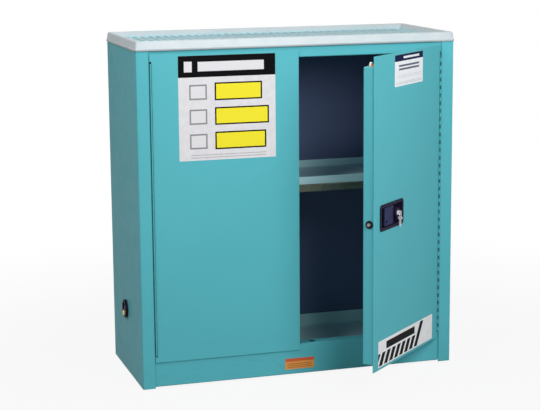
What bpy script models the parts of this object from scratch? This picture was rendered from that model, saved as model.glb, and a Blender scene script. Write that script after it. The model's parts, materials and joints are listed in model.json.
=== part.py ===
"""Two-door, double-wall steel safety cabinet with a plastic tray top.

Metres, +Z up. X runs to the right seen from the front, Y from the doors to the back.
The origin lies under the middle of the whole outline, with the right door ajar, at the
undersides of the feet. Each door is modelled in the frame of its own hinge axis.
"""

import math

import bmesh
import bpy
from mathutils import Matrix, Vector

MM = 0.001
INCH = 25.4 * MM

# Sheet metal, clearances and facets
SHEET = 1.2 * MM
BEND_RADIUS = 2.4 * MM
FIT_GAP = 0.3 * MM
OVERCUT = 6.0 * MM
ROUND_STEPS = 16
SMALL_STEPS = 10
CORNER_STEPS = 3

# Body, outside
BODY_WIDTH = 43 * INCH
BODY_DEPTH = 18 * INCH
BODY_HEIGHT = 44 * INCH
FOOT_DROP = 5.0 * MM
STILE_WIDTH = 43.0 * MM
JAMB_DEPTH = 46.0 * MM
REAR_FLANGE = 14.0 * MM
AIR_SPACE = 38.1 * MM

# Header, kick panel, sill and base
FRAME_SETBACK = 4.5 * MM
HEADER_HEIGHT = 40.6 * MM
HEADER_TOP_FLANGE = 30.0 * MM
SILL_HEIGHT = 107.0 * MM
SILL_BACK = 50.5 * MM
SUMP_DEPTH = 53.0 * MM
KICK_RISE = 4.0 * MM
KICK_FLANGE = 16.0 * MM
BASE_HEIGHT = 24.0 * MM
BASE_FLANGE = 16.0 * MM
PAN_FLANGE = 14.0 * MM
INNER_TOP_FLANGE = 15.0 * MM

# Levelling feet
FOOT_INSET_X = 42.0 * MM
FOOT_INSET_Y = 62.0 * MM
FOOT_PAD_RADIUS = 17.0 * MM
FOOT_PAD_HEIGHT = 8.0 * MM
FOOT_STEM_RADIUS = 4.75 * MM
FOOT_STEM_LENGTH = 34.0 * MM
FOOT_NUT_RADIUS = 9.0 * MM
FOOT_NUT_HEIGHT = 6.0 * MM

# Continuous hinges
BARREL_RADIUS = 3.4 * MM
LEAF_THICKNESS = 1.5 * MM
LEAF_WIDTH = 28.0 * MM
PIN_PLAY = 0.7 * MM
PIN_OVERHANG = 1.5 * MM
HINGE_PROUD = 1.5 * MM
HINGE_END_GAP = 5.0 * MM
KNUCKLE_PAIRS = 36
OUTER_ROLL_STEPS = 4
INNER_ROLL_STEPS = 3
PIN_STEPS = 6
ROLL_ANGLE = math.radians(270.0)

# Doors
DOOR_OPEN_ANGLE = math.radians(42.8)
MEETING_GAP = 5.0 * MM
DOOR_DEPTH = 40.5 * MM
SKIN_LAP_TOP = 25.0 * MM
SKIN_LAP_BOTTOM = 20.0 * MM
SKIN_EDGE_DEPTH = 3.0 * MM
SKIN_HEM_WIDTH = 12.0 * MM
SKIN_FREE_HEM = 2.5 * MM
EAR_GAP = 1.0 * MM
EAR_RELIEF = 7.0 * MM
LINER_CLEAR_TOP = 8.0 * MM
LINER_CLEAR_BOTTOM = 4.5 * MM

# Bolts, their guides and strikes
TOP_BOLT_OFFSET = 38.5 * MM
BOTTOM_BOLT_OFFSET = 50.0 * MM
BOLT_DEPTH = 30.5 * MM
BOLT_RADIUS = 6.5 * MM
BOLT_NOSE = 6.5 * MM
BOLT_BODY = 34.0 * MM
BOLT_REACH = 13.0 * MM
ROD_RADIUS = 4.5 * MM
STRIKE_WIDTH = 20.0 * MM
STRIKE_DEPTH = 18.0 * MM
GUIDE_WIDTH = 20.0 * MM
GUIDE_DEPTH = 16.8 * MM
GUIDE_HEIGHT = 20.0 * MM
GUIDE_PROUD = 0.4 * MM
GUIDE_TAB_WIDTH = 13.0 * MM
GUIDE_TAB_DEPTH = 4.0 * MM
GUIDE_TAB_CLEAR = 1.2 * MM

# Mid bolt
MID_BOLT_HEIGHT = 571.0 * MM
MID_BOLT_DEPTH = 17.0 * MM
MID_BOLT_REACH = 13.0 * MM
MID_BOLT_INSIDE = 28.0 * MM
BUSHING_FLANGE_RADIUS = 13.0 * MM
BUSHING_FLANGE = 2.0 * MM
BUSHING_NECK_RADIUS = 10.0 * MM
BUSHING_LENGTH = 14.0 * MM

# Flush bolts of the left door
FLUSH_ROD_LENGTH = 190.0 * MM
KNOB_HEIGHT = 9.0 * MM
KNOB_DEPTH = 10.0 * MM
KNOB_PROUD = 3.2 * MM
FLUSH_THROW = 14.0 * MM

# Recessed handle
HANDLE_HEIGHT_UP = 584.0 * MM
HANDLE_INSET = 126.0 * MM
HANDLE_WIDTH = 171.0 * MM
HANDLE_HEIGHT = 86.0 * MM
HANDLE_CORNER = 11.0 * MM
HANDLE_PROUD = 3.0 * MM
HANDLE_BORDER = 10.0 * MM
HANDLE_RECESS = 17.0 * MM
HANDLE_WALL = 1.8 * MM
HANDLE_DRAFT = 1.0 * MM
BASIN_CORNER = 5.0 * MM

# Pull paddle
LOCK_ROOM = 62.0 * MM
PADDLE_SIDE_GAP = 3.0 * MM
PADDLE_THICKNESS = 3.0 * MM
PADDLE_CORNER = 4.0 * MM
FINGER_GAP = 25.0 * MM
PADDLE_SUNK = 0.5 * MM
PADDLE_BORDER = 4.6 * MM
PADDLE_BORDER_RISE = 1.2 * MM
PADDLE_BARREL_RADIUS = 4.0 * MM
PADDLE_PIN_RADIUS = 1.8 * MM
LEVER_WIDTH = 7.0 * MM
LEVER_HEIGHT = 24.0 * MM
LEVER_LENGTH = 24.0 * MM
LEVER_SLOT_WIDTH = 24.0 * MM
LEVER_SLOT_HEIGHT = 30.0 * MM
LOCK_SLOT_WIDTH = 18.0 * MM
LOCK_SLOT_HEIGHT = 5.0 * MM
LOCK_SLOT_UP = 13.0 * MM
LOCK_SLOT_IN = 17.0 * MM

# Lock and keys
LOCK_INSET = 40.0 * MM
LOCK_RADIUS = 16.5 * MM
LOCK_PROUD = 1.0 * MM
LOCK_TAIL = 11.0 * MM
PLUG_RADIUS = 7.5 * MM
PLUG_PROUD = 1.2 * MM
PLUG_LENGTH = 26.0 * MM
KEYWAY_DEPTH = 24.6 * MM
KEY_THICKNESS = 2.0 * MM
KEY_BLADE_LENGTH = 24.0 * MM
KEY_BLADE_HALF = 3.2 * MM
KEY_BLADE_IN = 24.2 * MM
KEY_BOW_REACH = 6.5 * MM
KEY_BOW_HALF = 7.8 * MM
KEY_HOLE_RADIUS = 2.3 * MM
KEY_HOLE_OUT = 2.0 * MM
RING_RADIUS = 6.5 * MM
RING_WIRE = 0.8 * MM
RING_STEPS = 16
RING_WIRE_STEPS = 6

# Latch bracket
BRACKET_SPAN = 140.0 * MM
BRACKET_WIDTH = 40.0 * MM
BRACKET_FLANGE = 21.0 * MM
BRACKET_DEPTH = 38.5 * MM
ROD_END = 10.0 * MM

# Shelf, hangers and slots
SHELF_HEIGHT = 642.0 * MM
SHELF_FRONT = 60.0 * MM
SHELF_LIP = 24.0 * MM
SHELF_SIDE_GAP = 4.5 * MM
SHELF_BACK_GAP = 4.0 * MM
HANGER_THICKNESS = 1.6 * MM
HANGER_DEPTH = 20.0 * MM
HANGER_TAB = 20.0 * MM
HANGER_HOOK = 8.0 * MM
HANGER_INSET = 30.0 * MM
SLOT_PITCH = 76.2 * MM
SLOT_HEIGHT = 5.0 * MM
SLOT_WIDTH = 24.0 * MM
SLOTS_EACH_WAY = 3
SLOT_ABOVE_SHELF = 4.0 * MM

# Plastic trays
TRAY_OVERHANG = 2.9 * MM
TRAY_WALL = 2.4 * MM
TRAY_SKIRT = 7.4 * MM
TRAY_LEDGE = 1.5 * MM
TRAY_RISE = 27.0 * MM
TRAY_DRAFT = 4.5 * MM
TRAY_ROUND = 5.0 * MM
TRAY_RIM = 11.5 * MM
TRAY_INNER_DRAFT = 17.0 * MM
TRAY_CORNER = 7.0 * MM
SKIRT_CORNER = 3.2 * MM
RIB_PITCH = 27.0 * MM
RIB_FOOT = 17.0 * MM
RIB_CREST = 9.0 * MM
RIB_RISE = 13.0 * MM
RIB_END_GAP = 8.0 * MM
LINER_TRAY_WALL = 3.0 * MM
LINER_TRAY_DRAFT = 4.0 * MM
LINER_TRAY_CORNER = 10.0 * MM
SHELF_TRAY_RISE = 27.0 * MM
SUMP_TRAY_RISE = 46.0 * MM
SUMP_TRAY_GAP = 3.0 * MM

# Vents
VENT_SETBACK = 243.0 * MM
LOW_VENT_HEIGHT = 218.5 * MM
HIGH_VENT_DROP = 172.0 * MM
VENT_FLANGE_RADIUS = 31.0 * MM
VENT_FLANGE = 1.5 * MM
VENT_NECK_RADIUS = 27.0 * MM
VENT_BORE_RADIUS = 24.5 * MM
VENT_INSIDE = 3.0 * MM
VENT_PLUG_RADIUS = 31.5 * MM
VENT_PLUG_RISE = 6.5 * MM
VENT_PLUG_SKIRT = 12.0 * MM
VENT_DISH_RADIUS = 24.0 * MM
VENT_DISH_DEPTH = 4.5 * MM
VENT_BAR_WIDTH = 9.0 * MM
VENT_BAR_TURN = math.radians(-33.6)
FITTING_RADIUS = 9.0 * MM
FITTING_PROUD = 4.5 * MM
FITTING_SEAT = 2.0 * MM
FITTING_BEVEL = 1.2 * MM
ARRESTER_THICKNESS = 1.2 * MM
VENT_STEPS = 16

# Heights and places worked out from the sizes above
BODY_BOTTOM = FOOT_DROP
BODY_TOP = BODY_BOTTOM + BODY_HEIGHT
SILL_TOP = BODY_BOTTOM + SILL_HEIGHT
OPENING_TOP = BODY_TOP - HEADER_HEIGHT
SUMP_FLOOR = SILL_TOP - SUMP_DEPTH
JAMB_X = BODY_WIDTH / 2 - STILE_WIDTH
INNER_X = JAMB_X + SHEET + FIT_GAP
INNER_DEPTH = BODY_DEPTH - AIR_SPACE - 2 * SHEET
BARREL_ROOM = BARREL_RADIUS + FIT_GAP
BORE_RADIUS = BARREL_RADIUS - LEAF_THICKNESS
HINGE_X = JAMB_X - BARREL_ROOM
HINGE_BOTTOM = SILL_TOP + HINGE_END_GAP
HINGE_LENGTH = OPENING_TOP - SILL_TOP - 2 * HINGE_END_GAP
KNUCKLE_PITCH = HINGE_LENGTH / KNUCKLE_PAIRS
DOOR_EDGE = HINGE_X - MEETING_GAP / 2
DOOR_TIP = DOOR_EDGE * math.sin(DOOR_OPEN_ANGLE) + HINGE_PROUD * (1 - math.cos(DOOR_OPEN_ANGLE))
FRONT_Y = (DOOR_TIP - BODY_DEPTH - TRAY_OVERHANG) / 2
BACK_Y = FRONT_Y + BODY_DEPTH
INNER_BACK_Y = FRONT_Y + INNER_DEPTH
SKIN_BOTTOM = SILL_TOP - SKIN_LAP_BOTTOM
SKIN_TOP = OPENING_TOP + SKIN_LAP_TOP
LINER_BOTTOM = SILL_TOP + LINER_CLEAR_BOTTOM
LINER_TOP = OPENING_TOP - LINER_CLEAR_TOP
LINER_EDGE = DOOR_EDGE - SKIN_FREE_HEM - FIT_GAP
LINER_FRONT = SHEET + FIT_GAP
TOP_BOLT_S = HINGE_X - TOP_BOLT_OFFSET
BOTTOM_BOLT_S = HINGE_X - BOTTOM_BOLT_OFFSET
MID_BOLT_Z = BODY_BOTTOM + MID_BOLT_HEIGHT
HANDLE_Z = BODY_BOTTOM + HANDLE_HEIGHT_UP
HANDLE_S = DOOR_EDGE - HANDLE_INSET
BASIN_FREE_S = HANDLE_S + HANDLE_WIDTH / 2 - HANDLE_BORDER
PADDLE_FREE_S = BASIN_FREE_S - FINGER_GAP
PADDLE_WIDTH = HANDLE_WIDTH - 2 * HANDLE_BORDER - FINGER_GAP - LOCK_ROOM
PADDLE_HEIGHT = HANDLE_HEIGHT - 2 * (HANDLE_BORDER + PADDLE_SIDE_GAP)
PADDLE_AXIS_S = PADDLE_FREE_S - PADDLE_WIDTH + PADDLE_BARREL_RADIUS
PADDLE_AXIS_DEPTH = PADDLE_SUNK + PADDLE_THICKNESS + PADDLE_BARREL_RADIUS / 2
LOCK_S = HANDLE_S - HANDLE_WIDTH / 2 + LOCK_INSET
BASIN_FLOOR = HANDLE_RECESS
KEY_HOLE_FROM_TIP = KEY_BLADE_LENGTH + KEY_BOW_REACH + KEY_HOLE_OUT
RING_HANG = KEY_HOLE_RADIUS - RING_WIRE - FIT_GAP
SHELF_TOP = BODY_BOTTOM + SHELF_HEIGHT
SHELF_HALF = INNER_X - SHELF_SIDE_GAP
LOW_VENT_Z = BODY_BOTTOM + LOW_VENT_HEIGHT
HIGH_VENT_Z = BODY_TOP - HIGH_VENT_DROP
VENT_Y = FRONT_Y + VENT_SETBACK
FITTING_OFFSET = VENT_BAR_WIDTH / 2 + FITTING_RADIUS + 2 * FIT_GAP

# Turns that lay a shape made in the XY plane into another plane
UPRIGHT = Matrix.Rotation(math.pi / 2, 4, "X")
SIDEWAYS = Matrix(((0, 0, 1, 0), (1, 0, 0, 0), (0, 1, 0, 0), (0, 0, 0, 1)))


def clear_scene():
    for obj in list(bpy.data.objects):
        bpy.data.objects.remove(obj)


def new_collection(name):
    collection = bpy.data.collections.new(name)
    bpy.context.scene.collection.children.link(collection)
    return collection


def material(name, color, roughness, metallic):
    """A plain Principled material; made once and then found by its name."""
    found = bpy.data.materials.get(name)
    if found:
        return found
    made = bpy.data.materials.new(name)
    made.use_nodes = True
    made.diffuse_color = (*color, 1)
    shader = made.node_tree.nodes["Principled BSDF"]
    shader.inputs["Base Color"].default_value = (*color, 1)
    shader.inputs["Roughness"].default_value = roughness
    shader.inputs["Metallic"].default_value = metallic
    return made


def teal_paint():
    return material("teal_paint", (0.10, 0.44, 0.50), 0.42, 0.0)


def pale_plastic():
    return material("pale_plastic", (0.72, 0.81, 0.84), 0.5, 0.0)


def black_plastic():
    return material("black_plastic", (0.018, 0.018, 0.024), 0.45, 0.0)


def amber_plastic():
    return material("amber_plastic", (0.78, 0.38, 0.05), 0.4, 0.0)


def bright_steel():
    return material("bright_steel", (0.78, 0.79, 0.80), 0.2, 1.0)


def zinc_steel():
    return material("zinc_steel", (0.50, 0.52, 0.50), 0.45, 0.9)


def brass():
    return material("brass", (0.75, 0.58, 0.24), 0.3, 1.0)


def add_object(name, mesh, finish, parent=None):
    """Puts a mesh into the part as a node of its own."""
    mesh.name = name
    obj = bpy.data.objects.new(name, mesh)
    PART.objects.link(obj)
    if finish:
        mesh.materials.append(finish())
    obj.parent = parent
    return obj


def mesh_from(bm):
    mesh = bpy.data.meshes.new("shape")
    bm.normal_update()
    bm.to_mesh(mesh)
    bm.free()
    return mesh


def as_cutter(obj):
    """Moves a shape to the cutters, which aren't part of the object."""
    PART.objects.unlink(obj)
    CUTTERS.objects.link(obj)
    obj.hide_render = True
    obj.display_type = "WIRE"
    return obj


def boolean(target, other, operation):
    modifier = target.modifiers.new(operation.title(), "BOOLEAN")
    modifier.operation = operation
    modifier.solver = "EXACT"
    modifier.object = other
    return target


def cut(target, cutter):
    return boolean(target, as_cutter(cutter), "DIFFERENCE")


def join(target, other):
    return boolean(target, as_cutter(other), "UNION")


def smooth(obj):
    """Shades round forms smooth and keeps edges over 35 degrees sharp."""
    obj.data.shade_smooth()
    obj.data.set_sharp_from_angle(angle=math.radians(35))
    return obj


def axis_empty(name, place, parent=None, turn=0.0):
    """An empty on a joint's axis, which carries what moves about it."""
    empty = bpy.data.objects.new(name, None)
    PART.objects.link(empty)
    empty.location = place
    empty.rotation_euler[2] = turn
    empty.parent = parent
    empty.empty_display_size = BOLT_DEPTH
    return empty


def box(name, low, high, finish=None, parent=None):
    """A block between two opposite corners, with its origin at its middle."""
    low, high = Vector(map(min, low, high)), Vector(map(max, low, high))
    bm = bmesh.new()
    size = high - low
    bmesh.ops.create_cube(bm, size=1.0, matrix=Matrix.Diagonal(size.to_4d()))
    obj = add_object(name, mesh_from(bm), finish, parent)
    obj.location = (low + high) / 2
    return obj


def cylinder(name, radius, length, place, turn, finish=None, parent=None, steps=ROUND_STEPS):
    """A cylinder along local Z about its middle; turn is a 4x4 rotation."""
    bm = bmesh.new()
    bmesh.ops.create_cone(
        bm, cap_ends=True, segments=steps, radius1=radius, radius2=radius, depth=length, matrix=turn
    )
    obj = add_object(name, mesh_from(bm), finish, parent)
    obj.location = place
    return smooth(obj)


def open_pan(name, low, high, open_axis, open_side, finish, parent=None):
    """A folded pan: a box without the face on one side, given the sheet's thickness inwards."""
    obj = box(name, low, high, finish, parent)
    bm = bmesh.new()
    bm.from_mesh(obj.data)
    bm.normal_update()
    gone = [face for face in bm.faces if face.normal[open_axis] * open_side > 0.5]
    bmesh.ops.delete(bm, geom=gone, context="FACES")
    bm.to_mesh(obj.data)
    bm.free()
    return thicken(obj, SHEET, BEND_RADIUS)


def thicken(obj, thickness, bend=0.0):
    """Rounds the bends of an open surface and gives it a wall on the side away from its normals."""
    if bend:
        bevel = obj.modifiers.new("Bend", "BEVEL")
        bevel.width = bend
        bevel.segments = 1
        bevel.limit_method = "ANGLE"
    wall = obj.modifiers.new("Wall", "SOLIDIFY")
    wall.thickness = thickness
    wall.offset = -1.0
    wall.use_even_offset = True
    return obj


def folded_sheet(name, path, along, start, end, finish, parent=None, thickness=SHEET):
    """A sheet folded along a path of 2D points and extruded along X or Z.

    The path lies in YZ for X and in XY for Z, and the wall lies to the left of its run."""
    bm = bmesh.new()
    rows = []
    for level in (start, end):
        places = [(level, a, b) if along == "X" else (a, b, level) for a, b in path]
        rows.append([bm.verts.new(place) for place in places])
    low, high = rows
    for i in range(len(path) - 1):
        bm.faces.new((low[i], low[i + 1], high[i + 1], high[i]))
    obj = add_object(name, mesh_from(bm), finish, parent)
    return thicken(obj, thickness, BEND_RADIUS)


def outline_solid(name, loops, thickness, turn, place, finish=None, parent=None):
    """A flat outline with holes, as a filled 2D curve extruded both ways, made a mesh."""
    curve = bpy.data.curves.new(name, "CURVE")
    curve.dimensions = "2D"
    curve.fill_mode = "BOTH"
    curve.extrude = thickness / 2
    for loop in loops:
        spline = curve.splines.new("POLY")
        spline.points.add(len(loop) - 1)
        for point, (u, v) in zip(spline.points, loop):
            point.co = (u, v, 0, 1)
        spline.use_cyclic_u = True
    helper = bpy.data.objects.new(name, curve)
    bpy.context.scene.collection.objects.link(helper)
    graph = bpy.context.evaluated_depsgraph_get()
    mesh = bpy.data.meshes.new_from_object(helper.evaluated_get(graph))
    bpy.data.objects.remove(helper)
    bm = bmesh.new()
    bm.from_mesh(mesh)
    bmesh.ops.remove_doubles(bm, verts=bm.verts, dist=FIT_GAP / 100)
    bmesh.ops.recalc_face_normals(bm, faces=bm.faces)
    bm.transform(turn)
    bm.to_mesh(mesh)
    bm.free()
    obj = add_object(name, mesh, finish, parent)
    obj.location = place
    return obj


def turned(name, profile, turn, place, finish=None, parent=None, steps=ROUND_STEPS, ring=False):
    """Turns a profile of (radius, height) pairs about local Z. It runs down the outer side."""
    mesh = bpy.data.meshes.new(name)
    count = len(profile)
    edges = [(i, i + 1) for i in range(count - 1)]
    if ring:
        edges.append((count - 1, 0))
    mesh.from_pydata([(radius, 0, height) for radius, height in profile], edges, [])
    obj = add_object(name, mesh, finish, parent)
    screw = obj.modifiers.new("Turn", "SCREW")
    screw.steps = screw.render_steps = steps
    screw.use_merge_vertices = True
    screw.merge_threshold = FIT_GAP / 100
    screw.use_smooth_shade = True
    obj.location = place
    obj.rotation_euler = turn.to_euler()
    return obj


def rounded_ring(half_u, half_v, radius, level):
    """A rounded rectangle at one level: four quarter circles of the corner radius."""
    points = []
    for su, sv, quarter in ((1, 1, 0), (-1, 1, 1), (-1, -1, 2), (1, -1, 3)):
        for step in range(CORNER_STEPS + 1):
            angle = (quarter + step / CORNER_STEPS) * math.pi / 2
            u = su * (half_u - radius) + radius * math.cos(angle)
            v = sv * (half_v - radius) + radius * math.sin(angle)
            points.append((u, v, level))
    return points


def lofted_tray(name, rings, wall, turn, place, finish, parent=None):
    """A tray lofted through rounded rectangles from its outer edge to its floor, walled behind."""
    bm = bmesh.new()
    rows = [[bm.verts.new(point) for point in ring] for ring in rings]
    count = len(rows[0])
    for low, high in zip(rows, rows[1:]):
        for i in range(count):
            j = (i + 1) % count
            bm.faces.new((low[i], low[j], high[j], high[i]))
    bm.faces.new(rows[-1])
    bm.transform(turn)
    obj = add_object(name, mesh_from(bm), finish, parent)
    obj.location = place
    return thicken(obj, wall)


def mirrored(side, path):
    """The path as it is for the right side, and mirrored with its run kept for the left."""
    if side > 0:
        return path
    return [(-x, y) for x, y in reversed(path)]


# Body panels
def side_panel(name, side):
    """Jamb return, stile, side wall and rear flange from one sheet."""
    outer = BODY_WIDTH / 2
    path = [
        (JAMB_X, FRONT_Y + JAMB_DEPTH),
        (JAMB_X, FRONT_Y),
        (outer, FRONT_Y),
        (outer, BACK_Y),
        (outer - REAR_FLANGE, BACK_Y),
    ]
    top = BODY_TOP - SHEET - FIT_GAP
    panel = folded_sheet(name, mirrored(side, path), "Z", BODY_BOTTOM, top, teal_paint)
    notch = box(
        f"{name}_notch",
        (side * (JAMB_X - OVERCUT), FRONT_Y + FRAME_SETBACK, BODY_BOTTOM - OVERCUT),
        (
            side * (JAMB_X + OVERCUT),
            FRONT_Y + JAMB_DEPTH + OVERCUT,
            BODY_BOTTOM + BASE_HEIGHT + FIT_GAP,
        ),
    )
    return cut(panel, notch)


def header_panel():
    """Top flange, front strip and the lip over the doors, with the strike holes."""
    front = FRONT_Y + FRAME_SETBACK
    top = BODY_TOP - SHEET - FIT_GAP
    path = [
        (front + HEADER_TOP_FLANGE, top),
        (front, top),
        (front, OPENING_TOP),
        (FRONT_Y + JAMB_DEPTH, OPENING_TOP),
    ]
    half = JAMB_X - FIT_GAP
    header = folded_sheet("header_panel", path, "X", -half, half, teal_paint)
    for side in (-1, 1):
        cut(header, strike_cutter(f"header_strike_{side}", side, 1))
    return header


def kick_panel():
    """Front panel, raised sill and the sill's inner leg, with the strike holes."""
    front = FRONT_Y + FRAME_SETBACK
    back = FRONT_Y + SILL_BACK
    bottom = BODY_BOTTOM + KICK_RISE
    path = [
        (back, SUMP_FLOOR),
        (back, SILL_TOP),
        (front, SILL_TOP),
        (front, bottom),
        (front + KICK_FLANGE, bottom),
    ]
    half = JAMB_X - FIT_GAP
    kick = folded_sheet("kick_panel", path, "X", -half, half, teal_paint)
    for side in (-1, 1):
        cut(kick, strike_cutter(f"sill_strike_{side}", side, -1))
    return kick


def strike_cutter(name, side, end):
    """Cuts the hole that a bolt enters in the lip, end 1, or the sill, end -1."""
    level = OPENING_TOP if end > 0 else SILL_TOP
    x, y = side * (HINGE_X - bolt_s(end)), FRONT_Y + BOLT_DEPTH
    low = (x - STRIKE_WIDTH / 2, y - STRIKE_DEPTH / 2, level - OVERCUT)
    high = (x + STRIKE_WIDTH / 2, y + STRIKE_DEPTH / 2, level + OVERCUT)
    return box(name, low, high)


def outer_panels():
    """Back, top and base of the outer case."""
    half = BODY_WIDTH / 2 - SHEET - BEND_RADIUS
    back = BACK_Y - SHEET - FIT_GAP
    box(
        "back_panel",
        (-half, back - SHEET, BODY_BOTTOM),
        (half, back, BODY_TOP - SHEET - FIT_GAP),
        teal_paint,
    )
    box(
        "top_panel",
        (-BODY_WIDTH / 2, FRONT_Y, BODY_TOP - SHEET),
        (BODY_WIDTH / 2, BACK_Y, BODY_TOP),
        teal_paint,
    )
    base_top = BODY_BOTTOM + BASE_HEIGHT
    base = open_pan(
        "base_panel",
        (-half, FRONT_Y + FRAME_SETBACK + SHEET + FIT_GAP, base_top - BASE_FLANGE),
        (half, back - SHEET - FIT_GAP, base_top),
        2,
        -1,
        teal_paint,
    )
    for x, y in foot_places():
        hole = cylinder(
            "foot_hole",
            FOOT_STEM_RADIUS + FIT_GAP,
            2 * OVERCUT,
            (x, y, base_top),
            Matrix(),
            steps=SMALL_STEPS,
        )
        cut(base, hole)


def foot_places():
    x = BODY_WIDTH / 2 - FOOT_INSET_X
    front, back = FRONT_Y + FOOT_INSET_Y, BACK_Y - FOOT_INSET_Y
    return [(-x, front), (x, front), (-x, back), (x, back)]


def levelling_feet():
    """Round pads on threaded stems, each with a nut under the base."""
    names = ("front_left", "front_right", "rear_left", "rear_right")
    nut_top = BODY_BOTTOM + BASE_HEIGHT - SHEET - FIT_GAP
    nut_bottom = nut_top - FOOT_NUT_HEIGHT
    stem_top = FOOT_PAD_HEIGHT + FOOT_STEM_LENGTH
    profile = [
        (0, stem_top),
        (FOOT_STEM_RADIUS, stem_top),
        (FOOT_STEM_RADIUS, nut_top),
        (FOOT_NUT_RADIUS, nut_top),
        (FOOT_NUT_RADIUS, nut_bottom),
        (FOOT_STEM_RADIUS, nut_bottom),
        (FOOT_STEM_RADIUS, FOOT_PAD_HEIGHT),
        (FOOT_PAD_RADIUS, FOOT_PAD_HEIGHT / 2),
        (FOOT_PAD_RADIUS, 0),
        (0, 0),
    ]
    for name, (x, y) in zip(names, foot_places()):
        turned(f"foot_{name}", profile, Matrix(), (x, y, 0), black_plastic, steps=SMALL_STEPS)


def inner_case():
    """The inner walls, which keep an air space to the outer case."""
    flank = INNER_X - FIT_GAP
    wall_front = FRONT_Y + JAMB_DEPTH / 2
    wall_back = INNER_BACK_Y + SHEET
    for name, side in (("left", -1), ("right", 1)):
        wall = box(
            f"inner_{name}_wall",
            (side * INNER_X, wall_front, SUMP_FLOOR - SHEET),
            (side * (INNER_X + SHEET), wall_back, OPENING_TOP + INNER_TOP_FLANGE),
            teal_paint,
        )
        for row, y in enumerate(hanger_places()):
            cut(wall, slot_column(f"{name}_slots_{row}", side, y))
    box(
        "inner_back_wall",
        (-flank, INNER_BACK_Y, SUMP_FLOOR),
        (flank, wall_back, OPENING_TOP - FIT_GAP),
        teal_paint,
    )
    open_pan(
        "inner_top_panel",
        (-flank, FRONT_Y + JAMB_DEPTH + FIT_GAP, OPENING_TOP),
        (flank, wall_back, OPENING_TOP + INNER_TOP_FLANGE),
        2,
        1,
        teal_paint,
    )
    open_pan(
        "inner_floor_pan",
        (-flank, FRONT_Y + SILL_BACK + FIT_GAP, SUMP_FLOOR - SHEET),
        (flank, INNER_BACK_Y - FIT_GAP, SUMP_FLOOR - SHEET + PAN_FLANGE),
        2,
        1,
        teal_paint,
    )


def hanger_places():
    """Middles of the front and rear slot columns along Y."""
    return (
        FRONT_Y + SHELF_FRONT + HANGER_INSET,
        INNER_BACK_Y - SHELF_BACK_GAP - HANGER_INSET,
    )


def slot_column(name, side, y):
    """One slot, repeated up and down the column by an array."""
    z = SHELF_TOP + SLOT_ABOVE_SHELF - SLOTS_EACH_WAY * SLOT_PITCH
    slot = box(
        name,
        (side * (INNER_X - OVERCUT), y - SLOT_WIDTH / 2, z),
        (side * (INNER_X + OVERCUT), y + SLOT_WIDTH / 2, z + SLOT_HEIGHT),
    )
    return stacked(slot, 2 * SLOTS_EACH_WAY + 1, (0, 0, SLOT_PITCH))


def stacked(obj, count, step):
    array = obj.modifiers.new("Row", "ARRAY")
    array.use_relative_offset = False
    array.use_constant_offset = True
    array.constant_offset_displace = step
    array.count = count
    return obj


def shelf_hangers():
    """Bent clips: a hook through the wall's slot, a leg and a tab under the shelf."""
    tab_top = SHELF_TOP - SHELF_LIP - FIT_GAP
    hook_z = SHELF_TOP + SLOT_ABOVE_SHELF + SLOT_HEIGHT / 2 + HANGER_THICKNESS / 2
    leg = INNER_X - FIT_GAP
    hook = INNER_X + SHEET + FIT_GAP
    path = [
        (leg - HANGER_TAB, tab_top - HANGER_THICKNESS),
        (leg, tab_top - HANGER_THICKNESS),
        (leg, hook_z - HANGER_THICKNESS),
        (hook + HANGER_THICKNESS, hook_z - HANGER_THICKNESS),
        (hook + HANGER_THICKNESS, hook_z - HANGER_THICKNESS - HANGER_HOOK),
    ]
    for side_name, side in (("left", -1), ("right", 1)):
        for row_name, y in zip(("front", "rear"), hanger_places()):
            name = f"hanger_{row_name}_{side_name}"
            strip_sheet(name, side, path, y)


def strip_sheet(name, side, path, y):
    """A strip folded in the XZ plane, as wide as a hanger."""
    bm = bmesh.new()
    rows = []
    for level in (y - HANGER_DEPTH / 2, y + HANGER_DEPTH / 2):
        rows.append([bm.verts.new((side * x, level, z)) for x, z in path])
    low, high = rows
    for i in range(len(path) - 1):
        corners = (low[i], low[i + 1], high[i + 1], high[i])
        bm.faces.new(corners if side < 0 else reversed(corners))
    obj = add_object(name, mesh_from(bm), zinc_steel)
    return thicken(obj, HANGER_THICKNESS)


def shelf():
    """Steel shelf with turned-down edges."""
    open_pan(
        "shelf",
        (-SHELF_HALF, FRONT_Y + SHELF_FRONT, SHELF_TOP - SHELF_LIP),
        (SHELF_HALF, INNER_BACK_Y - SHELF_BACK_GAP, SHELF_TOP),
        2,
        -1,
        zinc_steel,
    )


# Plastic trays
def liner_tray(name, front, back, floor, rise, half):
    """An open tray with drafted walls; floor is the level that it stands on."""
    middle = (0, (front + back) / 2, 0)
    depth = (back - front) / 2
    inner = LINER_TRAY_WALL
    rings = [
        rounded_ring(half - inner, depth - inner, LINER_TRAY_CORNER, floor + rise),
        rounded_ring(
            half - inner - LINER_TRAY_DRAFT,
            depth - inner - LINER_TRAY_DRAFT,
            LINER_TRAY_CORNER,
            floor + FIT_GAP + inner,
        ),
    ]
    return lofted_tray(name, rings, inner, Matrix(), middle, pale_plastic)


def liner_trays():
    liner_tray(
        "shelf_tray",
        FRONT_Y + SHELF_FRONT,
        INNER_BACK_Y - SHELF_BACK_GAP,
        SHELF_TOP,
        SHELF_TRAY_RISE,
        SHELF_HALF,
    )
    liner_tray(
        "sump_tray",
        FRONT_Y + SILL_BACK + SHEET + SUMP_TRAY_GAP,
        INNER_BACK_Y - SHEET - SUMP_TRAY_GAP,
        SUMP_FLOOR,
        SUMP_TRAY_RISE,
        INNER_X - SHEET - SUMP_TRAY_GAP,
    )


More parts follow.
